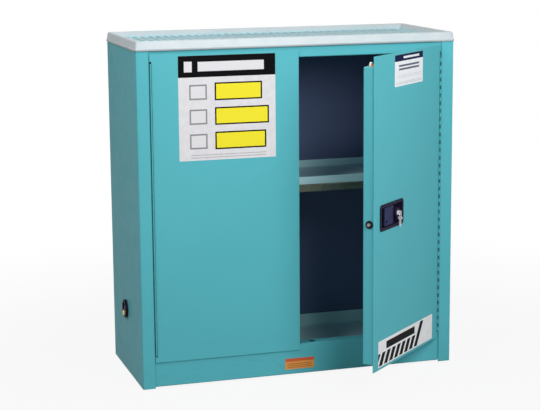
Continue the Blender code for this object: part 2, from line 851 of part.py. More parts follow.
def top_tray():
    """Tray over the whole top: lip over the case, ledge, rounded rim, ribbed floor."""
    half = BODY_WIDTH / 2 + TRAY_OVERHANG
    depth = BODY_DEPTH / 2 + TRAY_OVERHANG
    floor = BODY_TOP + FIT_GAP + TRAY_WALL
    rim = BODY_TOP + TRAY_RISE
    slope = TRAY_ROUND * (1 - math.sqrt(0.5))
    inner = TRAY_DRAFT + TRAY_RIM
    bottom = inner + TRAY_INNER_DRAFT
    profile = [
        (0, floor - TRAY_SKIRT, SKIRT_CORNER),
        (0, floor, SKIRT_CORNER),
        (TRAY_LEDGE, floor, SKIRT_CORNER),
        (TRAY_DRAFT, rim - TRAY_ROUND, TRAY_CORNER),
        (TRAY_DRAFT + slope, rim - slope, TRAY_CORNER),
        (TRAY_DRAFT + TRAY_ROUND, rim, TRAY_CORNER),
        (inner, rim, TRAY_CORNER),
        (bottom, floor, TRAY_CORNER),
    ]
    rings = [rounded_ring(half - i, depth - i, corner, level) for i, level, corner in profile]
    middle = (0, (FRONT_Y + BACK_Y) / 2, 0)
    tray = lofted_tray("top_tray", rings, TRAY_WALL, Matrix(), middle, pale_plastic)
    reach = depth - bottom - RIB_END_GAP
    count = int((2 * (half - bottom) - RIB_END_GAP) / RIB_PITCH)
    first = Vector((-(count - 1) / 2 * RIB_PITCH, middle[1], floor))
    rib = tray_rib("tray_ribs", reach, first, -TRAY_WALL / 2, 0)
    tray = join(tray, stacked(rib, count, (RIB_PITCH, 0, 0)))
    hollow = tray_rib("rib_hollows", reach - TRAY_WALL, first, -TRAY_WALL - OVERCUT, TRAY_WALL)
    return cut(tray, stacked(hollow, count, (RIB_PITCH, 0, 0)))


def tray_rib(name, reach, place, start, wall):
    """A rib tapered to its crest and running along Y, or the hollow under it inside a wall."""
    foot, crest = RIB_FOOT / 2 - wall, RIB_CREST / 2 - wall
    top = RIB_RISE - wall
    outline = [(-foot, start), (foot, start), (crest, top), (-crest, top)]
    return outline_solid(name, [outline], 2 * reach, UPRIGHT, place)


# Continuous hinges
def hinge_section(plate_side):
    """The leaf in plan: a flat plate whose front edge is rolled round the pin."""
    outer = [
        (BARREL_RADIUS, -ROLL_ANGLE * step / OUTER_ROLL_STEPS)
        for step in range(OUTER_ROLL_STEPS + 1)
    ]
    inner = [
        (BORE_RADIUS, -ROLL_ANGLE * (1 - step / INNER_ROLL_STEPS))
        for step in range(INNER_ROLL_STEPS + 1)
    ]
    rolled = [(r * math.cos(angle), r * math.sin(angle)) for r, angle in outer + inner]
    points = [(BARREL_RADIUS, LEAF_WIDTH), *rolled, (BORE_RADIUS, LEAF_WIDTH)]
    return [(plate_side * x, y) for x, y in points]


def hinge_leaf(name, plate_side, notch_start, place, parent=None):
    """A full-length leaf whose barrel is notched where the other leaf's knuckles sit."""
    length = HINGE_LENGTH - FIT_GAP
    middle = (place[0], place[1], HINGE_BOTTOM + length / 2)
    leaf = outline_solid(
        name, [hinge_section(plate_side)], length, Matrix(), middle, teal_paint, parent
    )
    reach = BARREL_ROOM
    start = HINGE_BOTTOM + notch_start
    notch = box(
        f"{name}_notches",
        (place[0] - reach, place[1] - reach, start),
        (place[0] + reach, place[1] + reach, start + KNUCKLE_PITCH / 2 + FIT_GAP),
        parent=parent,
    )
    return cut(leaf, stacked(notch, KNUCKLE_PAIRS, (0, 0, KNUCKLE_PITCH)))


def hinge(side_name, side, door):
    """Frame leaf and pin on the body, door leaf on the door."""
    place = (side * HINGE_X, FRONT_Y - HINGE_PROUD)
    half_pitch = KNUCKLE_PITCH / 2
    hinge_leaf(f"{side_name}_hinge_frame_leaf", side, half_pitch - FIT_GAP, place)
    hinge_leaf(f"{side_name}_hinge_door_leaf", -side, -FIT_GAP, (0, 0), door)
    length = HINGE_LENGTH + 2 * PIN_OVERHANG
    cylinder(
        f"{side_name}_hinge_pin",
        BORE_RADIUS - PIN_PLAY,
        length,
        (*place, HINGE_BOTTOM + HINGE_LENGTH / 2),
        Matrix(),
        bright_steel,
        steps=PIN_STEPS,
    )


# Doors, in the frame of the hinge axis: s runs to the free edge, depth back from the face
def at_door(side, s, depth, z):
    return Vector((-side * s, HINGE_PROUD + depth, z))


def bolt_s(end):
    """Distance of the top bolt, end 1, or the bottom bolt, end -1, from the hinge axis."""
    return TOP_BOLT_S if end > 0 else BOTTOM_BOLT_S


def door_box(name, side, s_range, depth_range, z_range, finish=None, parent=None):
    low = at_door(side, s_range[0], depth_range[0], z_range[0])
    high = at_door(side, s_range[1], depth_range[1], z_range[1])
    return box(name, low, high, finish, parent)


def door_skin(name, side, door):
    """Front sheet with hemmed edges and an ear above and below the hinge."""
    ear = EAR_GAP - BARREL_ROOM
    low_ear, high_ear = HINGE_BOTTOM - EAR_RELIEF, HINGE_BOTTOM + HINGE_LENGTH + EAR_RELIEF
    outline = [
        (ear, SKIN_BOTTOM),
        (ear, low_ear),
        (BARREL_ROOM, low_ear),
        (BARREL_ROOM, high_ear),
        (ear, high_ear),
        (ear, SKIN_TOP),
        (DOOR_EDGE, SKIN_TOP),
        (DOOR_EDGE, SKIN_BOTTOM),
    ]
    loop = [(-side * s, z) for s, z in outline]
    middle = (0, HINGE_PROUD + SKIN_EDGE_DEPTH / 2, 0)
    skin = outline_solid(name, [loop], SKIN_EDGE_DEPTH, UPRIGHT, middle, teal_paint, door)
    pocket = door_box(
        f"{name}_pocket",
        side,
        (ear - OVERCUT, DOOR_EDGE - SKIN_FREE_HEM),
        (SHEET, SKIN_EDGE_DEPTH + OVERCUT),
        (SKIN_BOTTOM + SKIN_HEM_WIDTH, SKIN_TOP - SKIN_HEM_WIDTH),
        parent=door,
    )
    return cut(skin, pocket)


def door_liner(name, side, door):
    """Inner pan of the door, open towards the skin, with openings for the bolt guides."""
    low = at_door(side, BARREL_ROOM, LINER_FRONT, LINER_BOTTOM)
    high = at_door(side, LINER_EDGE, DOOR_DEPTH, LINER_TOP)
    liner = open_pan(name, low, high, 1, -1, teal_paint, door)
    room = FIT_GAP
    for end_name, end, level in (("top", 1, LINER_TOP), ("bottom", -1, LINER_BOTTOM)):
        s = bolt_s(end)
        hole = door_box(
            f"{name}_{end_name}_hole",
            side,
            (s - GUIDE_WIDTH / 2 - room, s + GUIDE_WIDTH / 2 + room),
            guide_depths(room),
            (level - OVERCUT, level + OVERCUT),
            parent=door,
        )
        cut(liner, hole)
    return liner


def guide_depths(room=0.0):
    """Front and back of a bolt guide. Its tab stands at the front."""
    front = BOLT_DEPTH - GUIDE_DEPTH / 2 - GUIDE_TAB_DEPTH
    return (front - room, BOLT_DEPTH + GUIDE_DEPTH / 2 + room)


def bolt_guide(name, side, end, door):
    """Block that a bolt runs in, set in the door's top or bottom, with an upstanding tab."""
    level = LINER_TOP if end > 0 else LINER_BOTTOM
    depths = guide_depths()
    inside = level - end * (GUIDE_HEIGHT - GUIDE_PROUD)
    outside = level + end * GUIDE_PROUD
    clear = LINER_CLEAR_TOP if end > 0 else LINER_CLEAR_BOTTOM
    tab_end = level + end * (clear - GUIDE_TAB_CLEAR)
    half, s = GUIDE_WIDTH / 2, bolt_s(end)
    guide = door_box(
        name,
        side,
        (s - half, s + half),
        depths,
        (inside, outside),
        amber_plastic,
        door,
    )
    tab = door_box(
        f"{name}_tab",
        side,
        (s - GUIDE_TAB_WIDTH / 2, s + GUIDE_TAB_WIDTH / 2),
        (depths[0], depths[0] + GUIDE_TAB_DEPTH),
        (inside, tab_end),
        parent=door,
    )
    bore = cylinder(
        f"{name}_bore",
        BOLT_RADIUS + FIT_GAP,
        GUIDE_HEIGHT + 2 * OVERCUT,
        at_door(side, s, BOLT_DEPTH, (inside + outside) / 2),
        Matrix(),
        parent=door,
    )
    return cut(join(guide, tab), bore)


def bolt_profile(reach, rod_length):
    """Domed bolt on a thinner rod; zero height is the bolt's tip."""
    return [
        (0, reach),
        (BOLT_RADIUS * math.sin(math.radians(45)), reach - BOLT_NOSE * (1 - math.cos(math.radians(45)))),
        (BOLT_RADIUS, reach - BOLT_NOSE),
        (BOLT_RADIUS, reach - BOLT_BODY),
        (ROD_RADIUS, reach - BOLT_BODY - ROD_RADIUS),
        (ROD_RADIUS, reach - BOLT_BODY - rod_length),
        (0, reach - BOLT_BODY - rod_length),
    ]


def upright_bolt(name, side, end, rod_length, door, finish):
    """Top or bottom bolt with its rod."""
    level = LINER_TOP if end > 0 else LINER_BOTTOM
    turn = Matrix() if end > 0 else Matrix.Rotation(math.pi, 4, "X")
    place = at_door(side, bolt_s(end), BOLT_DEPTH, level)
    profile = bolt_profile(BOLT_REACH, rod_length)
    return turned(name, profile, turn, place, finish, door, steps=SMALL_STEPS)


def left_door(door):
    """Skin, liner, guides and the two flush bolts with their knobs."""
    side = -1
    door_skin("left_door_skin", side, door)
    liner = door_liner("left_door_liner", side, door)
    strike = cylinder(
        "mid_strike",
        BOLT_RADIUS + BUSHING_FLANGE,
        2 * OVERCUT,
        at_door(side, LINER_EDGE, MID_BOLT_DEPTH, MID_BOLT_Z),
        Matrix.Rotation(math.pi / 2, 4, "Y"),
        parent=door,
    )
    cut(liner, strike)
    for end_name, end in (("top", 1), ("bottom", -1)):
        bolt_guide(f"left_{end_name}_bolt_guide", side, end, door)
        name = f"left_{end_name}_flush_bolt"
        bolt = upright_bolt(name, side, end, FLUSH_ROD_LENGTH, door, bright_steel)
        level = LINER_TOP if end > 0 else LINER_BOTTOM
        knob_z = level + end * (BOLT_REACH - BOLT_BODY - FLUSH_ROD_LENGTH + KNOB_HEIGHT)
        knob = door_box(
            f"{name}_knob",
            side,
            (bolt_s(end), LINER_EDGE + KNOB_PROUD),
            (BOLT_DEPTH - KNOB_DEPTH / 2, BOLT_DEPTH + KNOB_DEPTH / 2),
            (knob_z - KNOB_HEIGHT / 2, knob_z + KNOB_HEIGHT / 2),
            parent=door,
        )
        join(bolt, knob)
        room = FIT_GAP
        far = knob_z - end * (FLUSH_THROW + KNOB_HEIGHT / 2 + room)
        near = knob_z + end * (KNOB_HEIGHT / 2 + room)
        slot = door_box(
            f"{name}_slot",
            side,
            (LINER_EDGE - OVERCUT, LINER_EDGE + OVERCUT),
            (BOLT_DEPTH - KNOB_DEPTH / 2 - room, BOLT_DEPTH + KNOB_DEPTH / 2 + room),
            (far, near),
            parent=door,
        )
        cut(liner, slot)


def right_door(door):
    """Skin with the handle's cut-out, liner, guides, latch bolts, bracket and handle."""
    side = 1
    skin = door_skin("right_door_skin", side, door)
    basin_half = HANDLE_WIDTH / 2 - HANDLE_BORDER + HANDLE_WALL + FIT_GAP
    basin_rise = HANDLE_HEIGHT / 2 - HANDLE_BORDER + HANDLE_WALL + FIT_GAP
    opening = door_box(
        "handle_opening",
        side,
        (HANDLE_S - basin_half, HANDLE_S + basin_half),
        (-OVERCUT, OVERCUT),
        (HANDLE_Z - basin_rise, HANDLE_Z + basin_rise),
        parent=door,
    )
    cut(skin, opening)
    liner = door_liner("right_door_liner", side, door)
    along_s = Matrix.Rotation(-math.pi / 2, 4, "Y")
    edge = at_door(side, LINER_EDGE, MID_BOLT_DEPTH, MID_BOLT_Z)
    mid_hole = cylinder(
        "mid_hole", BUSHING_NECK_RADIUS + FIT_GAP, 2 * OVERCUT, edge, along_s, parent=door
    )
    cut(liner, mid_hole)
    bracket = latch_bracket(side, door)
    for end_name, end in (("top", 1), ("bottom", -1)):
        bolt_guide(f"right_{end_name}_bolt_guide", side, end, door)
        level = LINER_TOP if end > 0 else LINER_BOTTOM
        rod_end = HANDLE_Z + end * (BRACKET_SPAN / 2 - ROD_END)
        rod_length = abs(level - rod_end) + BOLT_REACH - BOLT_BODY
        upright_bolt(f"{end_name}_bolt", side, end, rod_length, door, bright_steel)
        hole = cylinder(
            f"bracket_hole_{end_name}",
            ROD_RADIUS + FIT_GAP,
            2 * OVERCUT,
            at_door(side, bolt_s(end), BOLT_DEPTH, HANDLE_Z + end * BRACKET_SPAN / 2),
            Matrix(),
            parent=door,
            steps=SMALL_STEPS,
        )
        cut(bracket, hole)
    mid_bolt(side, door, edge, along_s)
    handle_housing(side, door)
    lock_and_keys(side, door)
    pull_paddle(side, door)


def latch_bracket(side, door):
    """C-shaped bracket behind the handle that steadies the rods' inner ends."""
    low, high = HANDLE_Z - BRACKET_SPAN / 2, HANDLE_Z + BRACKET_SPAN / 2
    back = HINGE_PROUD + BRACKET_DEPTH
    path = [
        (back - BRACKET_FLANGE, low),
        (back, low),
        (back, high),
        (back - BRACKET_FLANGE, high),
    ]
    s = (TOP_BOLT_S + BOTTOM_BOLT_S) / 2
    xs = sorted((-side * (s - BRACKET_WIDTH / 2), -side * (s + BRACKET_WIDTH / 2)))
    return folded_sheet("latch_bracket", path, "X", xs[0], xs[1], zinc_steel, door)


def mid_bolt(side, door, edge, along_s):
    """Domed bolt in the door's edge and the flanged bushing that guides it."""
    outside = FIT_GAP + BUSHING_FLANGE
    bore = BOLT_RADIUS + FIT_GAP
    profile = [
        (BUSHING_FLANGE_RADIUS, outside),
        (BUSHING_FLANGE_RADIUS, FIT_GAP),
        (BUSHING_NECK_RADIUS, FIT_GAP),
        (BUSHING_NECK_RADIUS, -BUSHING_LENGTH),
        (bore, -BUSHING_LENGTH),
        (bore, outside),
    ]
    turned("mid_bolt_bushing", profile, along_s, edge, black_plastic, door, ring=True)
    tip = MID_BOLT_REACH
    half_turn = math.radians(45)
    bolt = [
        (0, tip),
        (BOLT_RADIUS * math.sin(half_turn), tip - BOLT_NOSE * (1 - math.cos(half_turn))),
        (BOLT_RADIUS, tip - BOLT_NOSE),
        (BOLT_RADIUS, -MID_BOLT_INSIDE),
        (0, -MID_BOLT_INSIDE),
    ]
    turned("mid_bolt", bolt, along_s, edge, bright_steel, door, steps=ROUND_STEPS)


def handle_housing(side, door):
    """Black dish let into the door: a flange on the skin and a basin behind it."""
    half, rise = HANDLE_WIDTH / 2, HANDLE_HEIGHT / 2
    mouth, mouth_rise = half - HANDLE_BORDER, rise - HANDLE_BORDER
    rings = [
        rounded_ring(half, rise, HANDLE_CORNER, FIT_GAP),
        rounded_ring(half, rise, HANDLE_CORNER, HANDLE_PROUD - HANDLE_WALL / 2),
        rounded_ring(
            half - HANDLE_WALL / 2, rise - HANDLE_WALL / 2, HANDLE_CORNER, HANDLE_PROUD
        ),
        rounded_ring(mouth, mouth_rise, BASIN_CORNER, HANDLE_PROUD),
        rounded_ring(
            mouth - HANDLE_DRAFT, mouth_rise - HANDLE_DRAFT, BASIN_CORNER, -HANDLE_RECESS
        ),
    ]
    place = at_door(side, HANDLE_S, 0, HANDLE_Z)
    housing = lofted_tray(
        "handle_housing", rings, HANDLE_WALL, UPRIGHT, place, black_plastic, door
    )
    slot = door_box(
        "lever_slot",
        side,
        (PADDLE_AXIS_S - LEVER_WIDTH, PADDLE_AXIS_S - LEVER_WIDTH + LEVER_SLOT_WIDTH),
        (BASIN_FLOOR - OVERCUT, BASIN_FLOOR + OVERCUT),
        (HANDLE_Z - LEVER_SLOT_HEIGHT / 2, HANDLE_Z + LEVER_SLOT_HEIGHT / 2),
        parent=door,
    )
    cut(housing, slot)
    return lock_boss(side, door, housing)


def lock_boss(side, door, housing):
    """Round boss that stands on the basin's floor, bored for the lock plug."""
    place = at_door(side, LOCK_S, 0, HANDLE_Z)
    foot = -HANDLE_RECESS - LOCK_TAIL
    profile = [
        (0, LOCK_PROUD),
        (LOCK_RADIUS - LOCK_PROUD, LOCK_PROUD),
        (LOCK_RADIUS, 0),
        (LOCK_RADIUS, foot),
        (0, foot),
    ]
    boss = turned("lock_boss", profile, UPRIGHT, place, parent=door)
    depth = PLUG_LENGTH - PLUG_PROUD + FIT_GAP
    bore = cylinder(
        "lock_bore",
        PLUG_RADIUS + FIT_GAP,
        depth + OVERCUT,
        place + Vector((0, (depth - OVERCUT) / 2, 0)),
        UPRIGHT,
        parent=door,
    )
    return cut(join(housing, boss), bore)


def pull_paddle(side, door):
    """Pull plate with a raised border, a padlock slot, a barrel and a lever to the latch."""
    axis = axis_empty(
        "paddle_axis", at_door(side, PADDLE_AXIS_S, PADDLE_AXIS_DEPTH, HANDLE_Z), door
    )
    near = PADDLE_BARREL_RADIUS
    width = PADDLE_WIDTH
    middle_x = -side * (width / 2 - near)
    face = PADDLE_SUNK - PADDLE_AXIS_DEPTH
    plate_loop = ring_loop(width / 2, PADDLE_HEIGHT / 2, PADDLE_CORNER)
    slot_x = -side * (width / 2 - LOCK_SLOT_IN)
    slot_z = LOCK_SLOT_UP - PADDLE_HEIGHT / 2
    slot = [
        (slot_x + su * LOCK_SLOT_WIDTH / 2, slot_z + sv * LOCK_SLOT_HEIGHT / 2)
        for su, sv in ((1, 1), (-1, 1), (-1, -1), (1, -1))
    ]
    paddle = outline_solid(
        "pull_paddle",
        [plate_loop, slot],
        PADDLE_THICKNESS,
        UPRIGHT,
        (middle_x, face + PADDLE_THICKNESS / 2, 0),
        black_plastic,
        axis,
    )
    border = outline_solid(
        "paddle_border",
        [
            ring_loop(width / 2 - PADDLE_CORNER / 2, PADDLE_HEIGHT / 2 - PADDLE_CORNER / 2, PADDLE_CORNER),
            ring_loop(
                width / 2 - PADDLE_CORNER / 2 - PADDLE_BORDER,
                PADDLE_HEIGHT / 2 - PADDLE_CORNER / 2 - PADDLE_BORDER,
                PADDLE_CORNER / 2,
            ),
        ],
        2 * PADDLE_BORDER_RISE,
        UPRIGHT,
        (middle_x, face, 0),
        parent=axis,
    )
    barrel = cylinder(
        "paddle_barrel",
        PADDLE_BARREL_RADIUS,
        PADDLE_HEIGHT - PADDLE_CORNER,
        (0, 0, 0),
        Matrix(),
        parent=axis,
        steps=SMALL_STEPS,
    )
    lever = box(
        "paddle_lever",
        (-LEVER_WIDTH / 2, 0, -LEVER_HEIGHT / 2),
        (LEVER_WIDTH / 2, LEVER_LENGTH, LEVER_HEIGHT / 2),
        parent=axis,
    )
    bore = cylinder(
        "paddle_bore",
        PADDLE_PIN_RADIUS + FIT_GAP,
        PADDLE_HEIGHT + 2 * OVERCUT,
        (0, 0, 0),
        Matrix(),
        parent=axis,
        steps=SMALL_STEPS,
    )
    cut(join(join(join(paddle, border), barrel), lever), bore)
    pin_length = HANDLE_HEIGHT - 2 * HANDLE_BORDER - 2 * HANDLE_DRAFT
    cylinder(
        "paddle_pin",
        PADDLE_PIN_RADIUS,
        pin_length,
        at_door(side, PADDLE_AXIS_S, PADDLE_AXIS_DEPTH, HANDLE_Z),
        Matrix(),
        bright_steel,
        door,
        steps=SMALL_STEPS,
    )


def ring_loop(half_u, half_v, radius):
    return [(u, v) for u, v, _ in rounded_ring(half_u, half_v, radius, 0)]


def lock_and_keys(side, door):
    """Plug with its key, and the ring that holds the spare."""
    place = at_door(side, LOCK_S, 0, HANDLE_Z)
    plug_axis = axis_empty("lock_axis", place, door)
    plug = [
        (0, PLUG_PROUD),
        (PLUG_RADIUS, PLUG_PROUD),
        (PLUG_RADIUS, PLUG_PROUD - PLUG_LENGTH),
        (0, PLUG_PROUD - PLUG_LENGTH),
    ]
    plug_solid = turned(
        "lock_plug", plug, UPRIGHT, (0, 0, 0), bright_steel, plug_axis, steps=ROUND_STEPS
    )
    half_slot = KEY_THICKNESS / 2 + FIT_GAP
    half_height = KEY_BLADE_HALF + FIT_GAP
    keyway = box(
        "keyway",
        (-half_slot, -PLUG_PROUD - OVERCUT, -half_height),
        (half_slot, KEYWAY_DEPTH - PLUG_PROUD, half_height),
        parent=plug_axis,
    )
    cut(plug_solid, keyway)
    blade_end = PLUG_PROUD - KEY_BLADE_IN
    loops = key_loops()
    outline_solid(
        "key",
        [[(-u - blade_end, v) for u, v in loop] for loop in loops],
        KEY_THICKNESS,
        SIDEWAYS,
        (0, 0, 0),
        bright_steel,
        plug_axis,
    )
    reach = blade_end + KEY_HOLE_FROM_TIP
    ring_axis = axis_empty("key_ring_axis", (0, -reach, -RING_HANG), plug_axis)
    spare_hole = -2 * RING_RADIUS - RING_HANG
    outline_solid(
        "spare_key",
        [[(v, u - KEY_HOLE_FROM_TIP + spare_hole) for u, v in loop] for loop in loops],
        KEY_THICKNESS,
        SIDEWAYS,
        (0, 0, 0),
        bright_steel,
        ring_axis,
    )
    key_ring(ring_axis)


def key_loops():
    """A key's outline and its ring hole, from the blade's tip at zero to the oval bow."""
    half = KEY_BLADE_HALF
    middle = KEY_BLADE_LENGTH + KEY_BOW_REACH
    neck = math.asin(half / KEY_BOW_HALF)
    outline = [(half, -half), (0, 0), (half, half)]
    for step in range(SMALL_STEPS + 1):
        angle = math.pi - neck - step / SMALL_STEPS * (2 * math.pi - 2 * neck)
        outline.append(
            (middle + KEY_BOW_REACH * math.cos(angle), KEY_BOW_HALF * math.sin(angle))
        )
    hole = [
        (
            middle + KEY_HOLE_OUT + KEY_HOLE_RADIUS * math.cos(step * math.tau / SMALL_STEPS),
            KEY_HOLE_RADIUS * math.sin(step * math.tau / SMALL_STEPS),
        )
        for step in range(SMALL_STEPS)
    ]
    return [outline, hole]


def key_ring(axis):
    """Wire ring that hangs in the key's hole; its top is at the axis."""
    profile = [
        (
            RING_RADIUS + RING_WIRE * math.cos(step * math.tau / RING_WIRE_STEPS),
            -RING_WIRE * math.sin(step * math.tau / RING_WIRE_STEPS),
        )
        for step in range(RING_WIRE_STEPS)
    ]
    turned(
        "key_ring",
        profile,
        UPRIGHT,
        (0, 0, -RING_RADIUS),
        bright_steel,
        axis,
        steps=RING_STEPS,
        ring=True,
    )


# Vents
def vent(name, side, z):
    """Bung through both walls, screen at its inner end, plug and brass fitting outside."""
    outward = Matrix.Rotation(side * math.pi / 2, 4, "Y")
    place = (side * BODY_WIDTH / 2, VENT_Y, z)
    inside = BODY_WIDTH / 2 - INNER_X + VENT_INSIDE
    seat = FIT_GAP + VENT_FLANGE
    bung = [
        (VENT_FLANGE_RADIUS, seat),
        (VENT_FLANGE_RADIUS, FIT_GAP),
        (VENT_NECK_RADIUS, FIT_GAP),
        (VENT_NECK_RADIUS, -inside),
        (VENT_BORE_RADIUS, -inside),
        (VENT_BORE_RADIUS, seat),
    ]
    turned(
        f"{name}_vent_bung", bung, outward, place, zinc_steel, steps=VENT_STEPS, ring=True
    )
    screen_x = side * (BODY_WIDTH / 2 - inside + ARRESTER_THICKNESS / 2)
    cylinder(
        f"{name}_flame_arrester",
        VENT_BORE_RADIUS - FIT_GAP,
        ARRESTER_THICKNESS,
        (screen_x, VENT_Y, z),
        outward,
        zinc_steel,
        steps=VENT_STEPS,
    )
    vent_plug(name, side, place, outward, seat + FIT_GAP)
    for panel, x in ((f"{name}_side_panel", place[0]), (f"inner_{name}_wall", side * INNER_X)):
        hole = cylinder(
            f"{panel}_vent_hole",
            VENT_NECK_RADIUS + FIT_GAP,
            2 * OVERCUT,
            (x, VENT_Y, z),
            outward,
            steps=VENT_STEPS,
        )
        cut(bpy.data.objects[panel], hole)


def vent_plug(name, side, place, outward, seat):
    """Dished plug with a grip bar across the dish and a brass fitting beside the bar."""
    top = seat + VENT_PLUG_RISE
    foot = seat - VENT_PLUG_SKIRT
    dish = top - VENT_DISH_DEPTH
    edge = FITTING_BEVEL
    skirt = VENT_BORE_RADIUS - 2 * FIT_GAP
    profile = [
        (0, dish),
        (VENT_DISH_RADIUS, dish),
        (VENT_DISH_RADIUS, top),
        (VENT_PLUG_RADIUS - edge, top),
        (VENT_PLUG_RADIUS, top - edge),
        (VENT_PLUG_RADIUS, seat),
        (skirt, seat),
        (skirt, foot),
        (0, foot),
    ]
    plug = turned(
        f"{name}_vent_plug", profile, outward, place, black_plastic, steps=VENT_STEPS
    )
    half_bar = VENT_DISH_RADIUS + edge
    bar = box(
        f"{name}_grip_bar",
        (-(top - dish) / 2, -half_bar, -VENT_BAR_WIDTH / 2),
        ((top - dish) / 2, half_bar, VENT_BAR_WIDTH / 2),
    )
    bar.location = Vector(place) + side * Vector(((dish + top) / 2 - edge, 0, 0))
    bar.rotation_euler[0] = VENT_BAR_TURN
    join(plug, bar)
    seat_level = dish + FITTING_SEAT
    shank = FITTING_RADIUS / 2
    bored = [
        (0, top + OVERCUT),
        (FITTING_RADIUS + FIT_GAP, top + OVERCUT),
        (FITTING_RADIUS + FIT_GAP, seat_level),
        (shank + FIT_GAP, seat_level),
        (shank + FIT_GAP, foot - OVERCUT),
        (0, foot - OVERCUT),
    ]
    beside_bar = Vector((0, math.sin(VENT_BAR_TURN), -math.cos(VENT_BAR_TURN)))
    seat_place = Vector(place) + FITTING_OFFSET * beside_bar
    cut(plug, turned(f"{name}_fitting_hole", bored, outward, seat_place, steps=SMALL_STEPS))
    high = top + FITTING_PROUD
    fitting = [
        (0, high),
        (FITTING_RADIUS - edge, high),
        (FITTING_RADIUS, high - edge),
        (FITTING_RADIUS, seat_level + FIT_GAP),
        (shank, seat_level + FIT_GAP),
        (shank, foot),
        (0, foot),
    ]
    turned(f"{name}_vent_fitting", fitting, outward, seat_place, brass, steps=SMALL_STEPS)


def build():
    for name, side in (("left", -1), ("right", 1)):
        side_panel(f"{name}_side_panel", side)
    header_panel()
    kick_panel()
    outer_panels()
    levelling_feet()
    inner_case()
    shelf()
    shelf_hangers()
    liner_trays()
    top_tray()
    vent("left", -1, LOW_VENT_Z)
    vent("right", 1, HIGH_VENT_Z)
    axis_y = FRONT_Y - HINGE_PROUD
    left = axis_empty("left_door_axis", (-HINGE_X, axis_y, 0))
    right = axis_empty("right_door_axis", (HINGE_X, axis_y, 0), turn=DOOR_OPEN_ANGLE)
    hinge("left", -1, left)
    hinge("right", 1, right)
    left_door(left)
    right_door(right)


clear_scene()
PART = new_collection("safety_cabinet")
CUTTERS = new_collection("cutters")
build()
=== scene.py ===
import json
import math

import bpy
import numpy as np
from bpy.props import FloatProperty, FloatVectorProperty, PointerProperty
from mathutils import Matrix, Vector


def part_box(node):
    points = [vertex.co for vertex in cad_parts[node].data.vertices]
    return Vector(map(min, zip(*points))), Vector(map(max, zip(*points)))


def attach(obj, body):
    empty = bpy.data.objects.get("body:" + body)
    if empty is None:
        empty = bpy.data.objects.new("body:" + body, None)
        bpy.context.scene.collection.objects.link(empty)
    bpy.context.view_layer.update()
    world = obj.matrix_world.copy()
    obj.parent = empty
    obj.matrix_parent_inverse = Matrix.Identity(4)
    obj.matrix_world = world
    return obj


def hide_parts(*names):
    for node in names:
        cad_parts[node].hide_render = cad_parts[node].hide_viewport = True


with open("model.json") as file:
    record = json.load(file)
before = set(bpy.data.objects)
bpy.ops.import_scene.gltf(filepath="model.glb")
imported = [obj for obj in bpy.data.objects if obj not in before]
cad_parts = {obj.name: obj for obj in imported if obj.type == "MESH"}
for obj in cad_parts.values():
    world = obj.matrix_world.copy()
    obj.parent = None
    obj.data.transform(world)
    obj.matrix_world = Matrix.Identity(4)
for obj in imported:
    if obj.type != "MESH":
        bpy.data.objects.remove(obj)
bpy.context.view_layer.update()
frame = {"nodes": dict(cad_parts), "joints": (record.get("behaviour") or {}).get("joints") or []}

bl_info = {
    "name": "Double-wall safety cabinet",
    "version": (1, 0, 0),
    "blender": (4, 5, 0),
    "location": "View3D > Sidebar > Cabinet",
    "description": "Finishes, label plates, top tray and earth screw of a two-door steel cabinet",
    "category": "Object",
}

MM = 0.001


# Sizes and colours


def linear(red, green, blue):
    """A colour given from 0 to 255 as a screen shows it, turned into linear light."""
    shown = np.array([red, green, blue]) / 255
    return tuple(np.where(shown < 0.04045, shown / 12.92, ((shown + 0.055) / 1.055) ** 2.4))


def length(name, description, millimetres):
    return FloatProperty(
        name=name,
        description=description,
        default=millimetres * MM,
        subtype="DISTANCE",
        unit="LENGTH",
    )


def colour(name, description, shown):
    return FloatVectorProperty(
        name=name, description=description, default=linear(*shown), subtype="COLOR", min=0, max=1
    )


def power(name, watts):
    return FloatProperty(
        name=name, description=f"Power of the {name.lower()}", default=watts, unit="POWER"
    )


class PaintSizes(bpy.types.PropertyGroup):
    """Colours and wear of the painted sheet steel"""

    outside: colour("Outside paint", "Powder coat of the case and the doors", (88, 178, 188))
    # painted shade: the inner walls get a dark navy, darker and bluer than the outside paint, for
    # the shade inside the case
    inside: colour("Inside paint", "Paint of the inner walls, in the shade", (104, 116, 150))
    worn: colour("Worn paint", "Paint rubbed thin along the bends", (138, 212, 220))
    wear: FloatProperty(
        name="Edge wear",
        description="How much the bends have lightened",
        default=0.4,
        min=0,
        max=1,
        subtype="FACTOR",
    )
    wear_width: length("Wear width", "Width of the lightened line along a bend", 1.6)
    edge: length("Bend radius", "Round left on the outer edges of the sheets", 0.9)


class PlasticSizes(bpy.types.PropertyGroup):
    """Colours of the moulded trays and handle"""

    tray: colour("Tray plastic", "Natural polyethylene of the top tray", (184, 195, 199))
    tray_floor: colour("Tray floor", "Tray floor, where the paint shows through", (150, 206, 216))
    # partly painted light: pale polyethylene, made paler and bluer for light bounced onto the
    # trays inside the case
    liner: colour("Liner plastic", "Trays inside the case", (200, 240, 245))
    handle: colour("Handle plastic", "Moulded handle and bushings", (34, 28, 50))
    paddle: colour("Paddle plastic", "Pull paddle", (42, 46, 80))


class MetalSizes(bpy.types.PropertyGroup):
    """Colours of the bare and plated metal, and of the bolt guides"""

    bright: colour("Bright steel", "Latch bolts and lock plug", (228, 228, 226))
    nickel: colour("Nickel plate", "Keys and their ring", (244, 244, 250))
    zinc: colour("Zinc plate", "Pins, hangers and the mid bolt", (132, 136, 122))
    # painted shade: the shelf's zinc is a darker copy of the zinc plate, for the shade the shelf
    # stands in
    shelf: colour("Shelf zinc", "Galvanised sheet of the shelf", (106, 111, 98))
    brass: colour("Brass", "Vent fittings", (224, 198, 118))
    amber: colour("Amber plastic", "Bolt guides", (236, 152, 40))


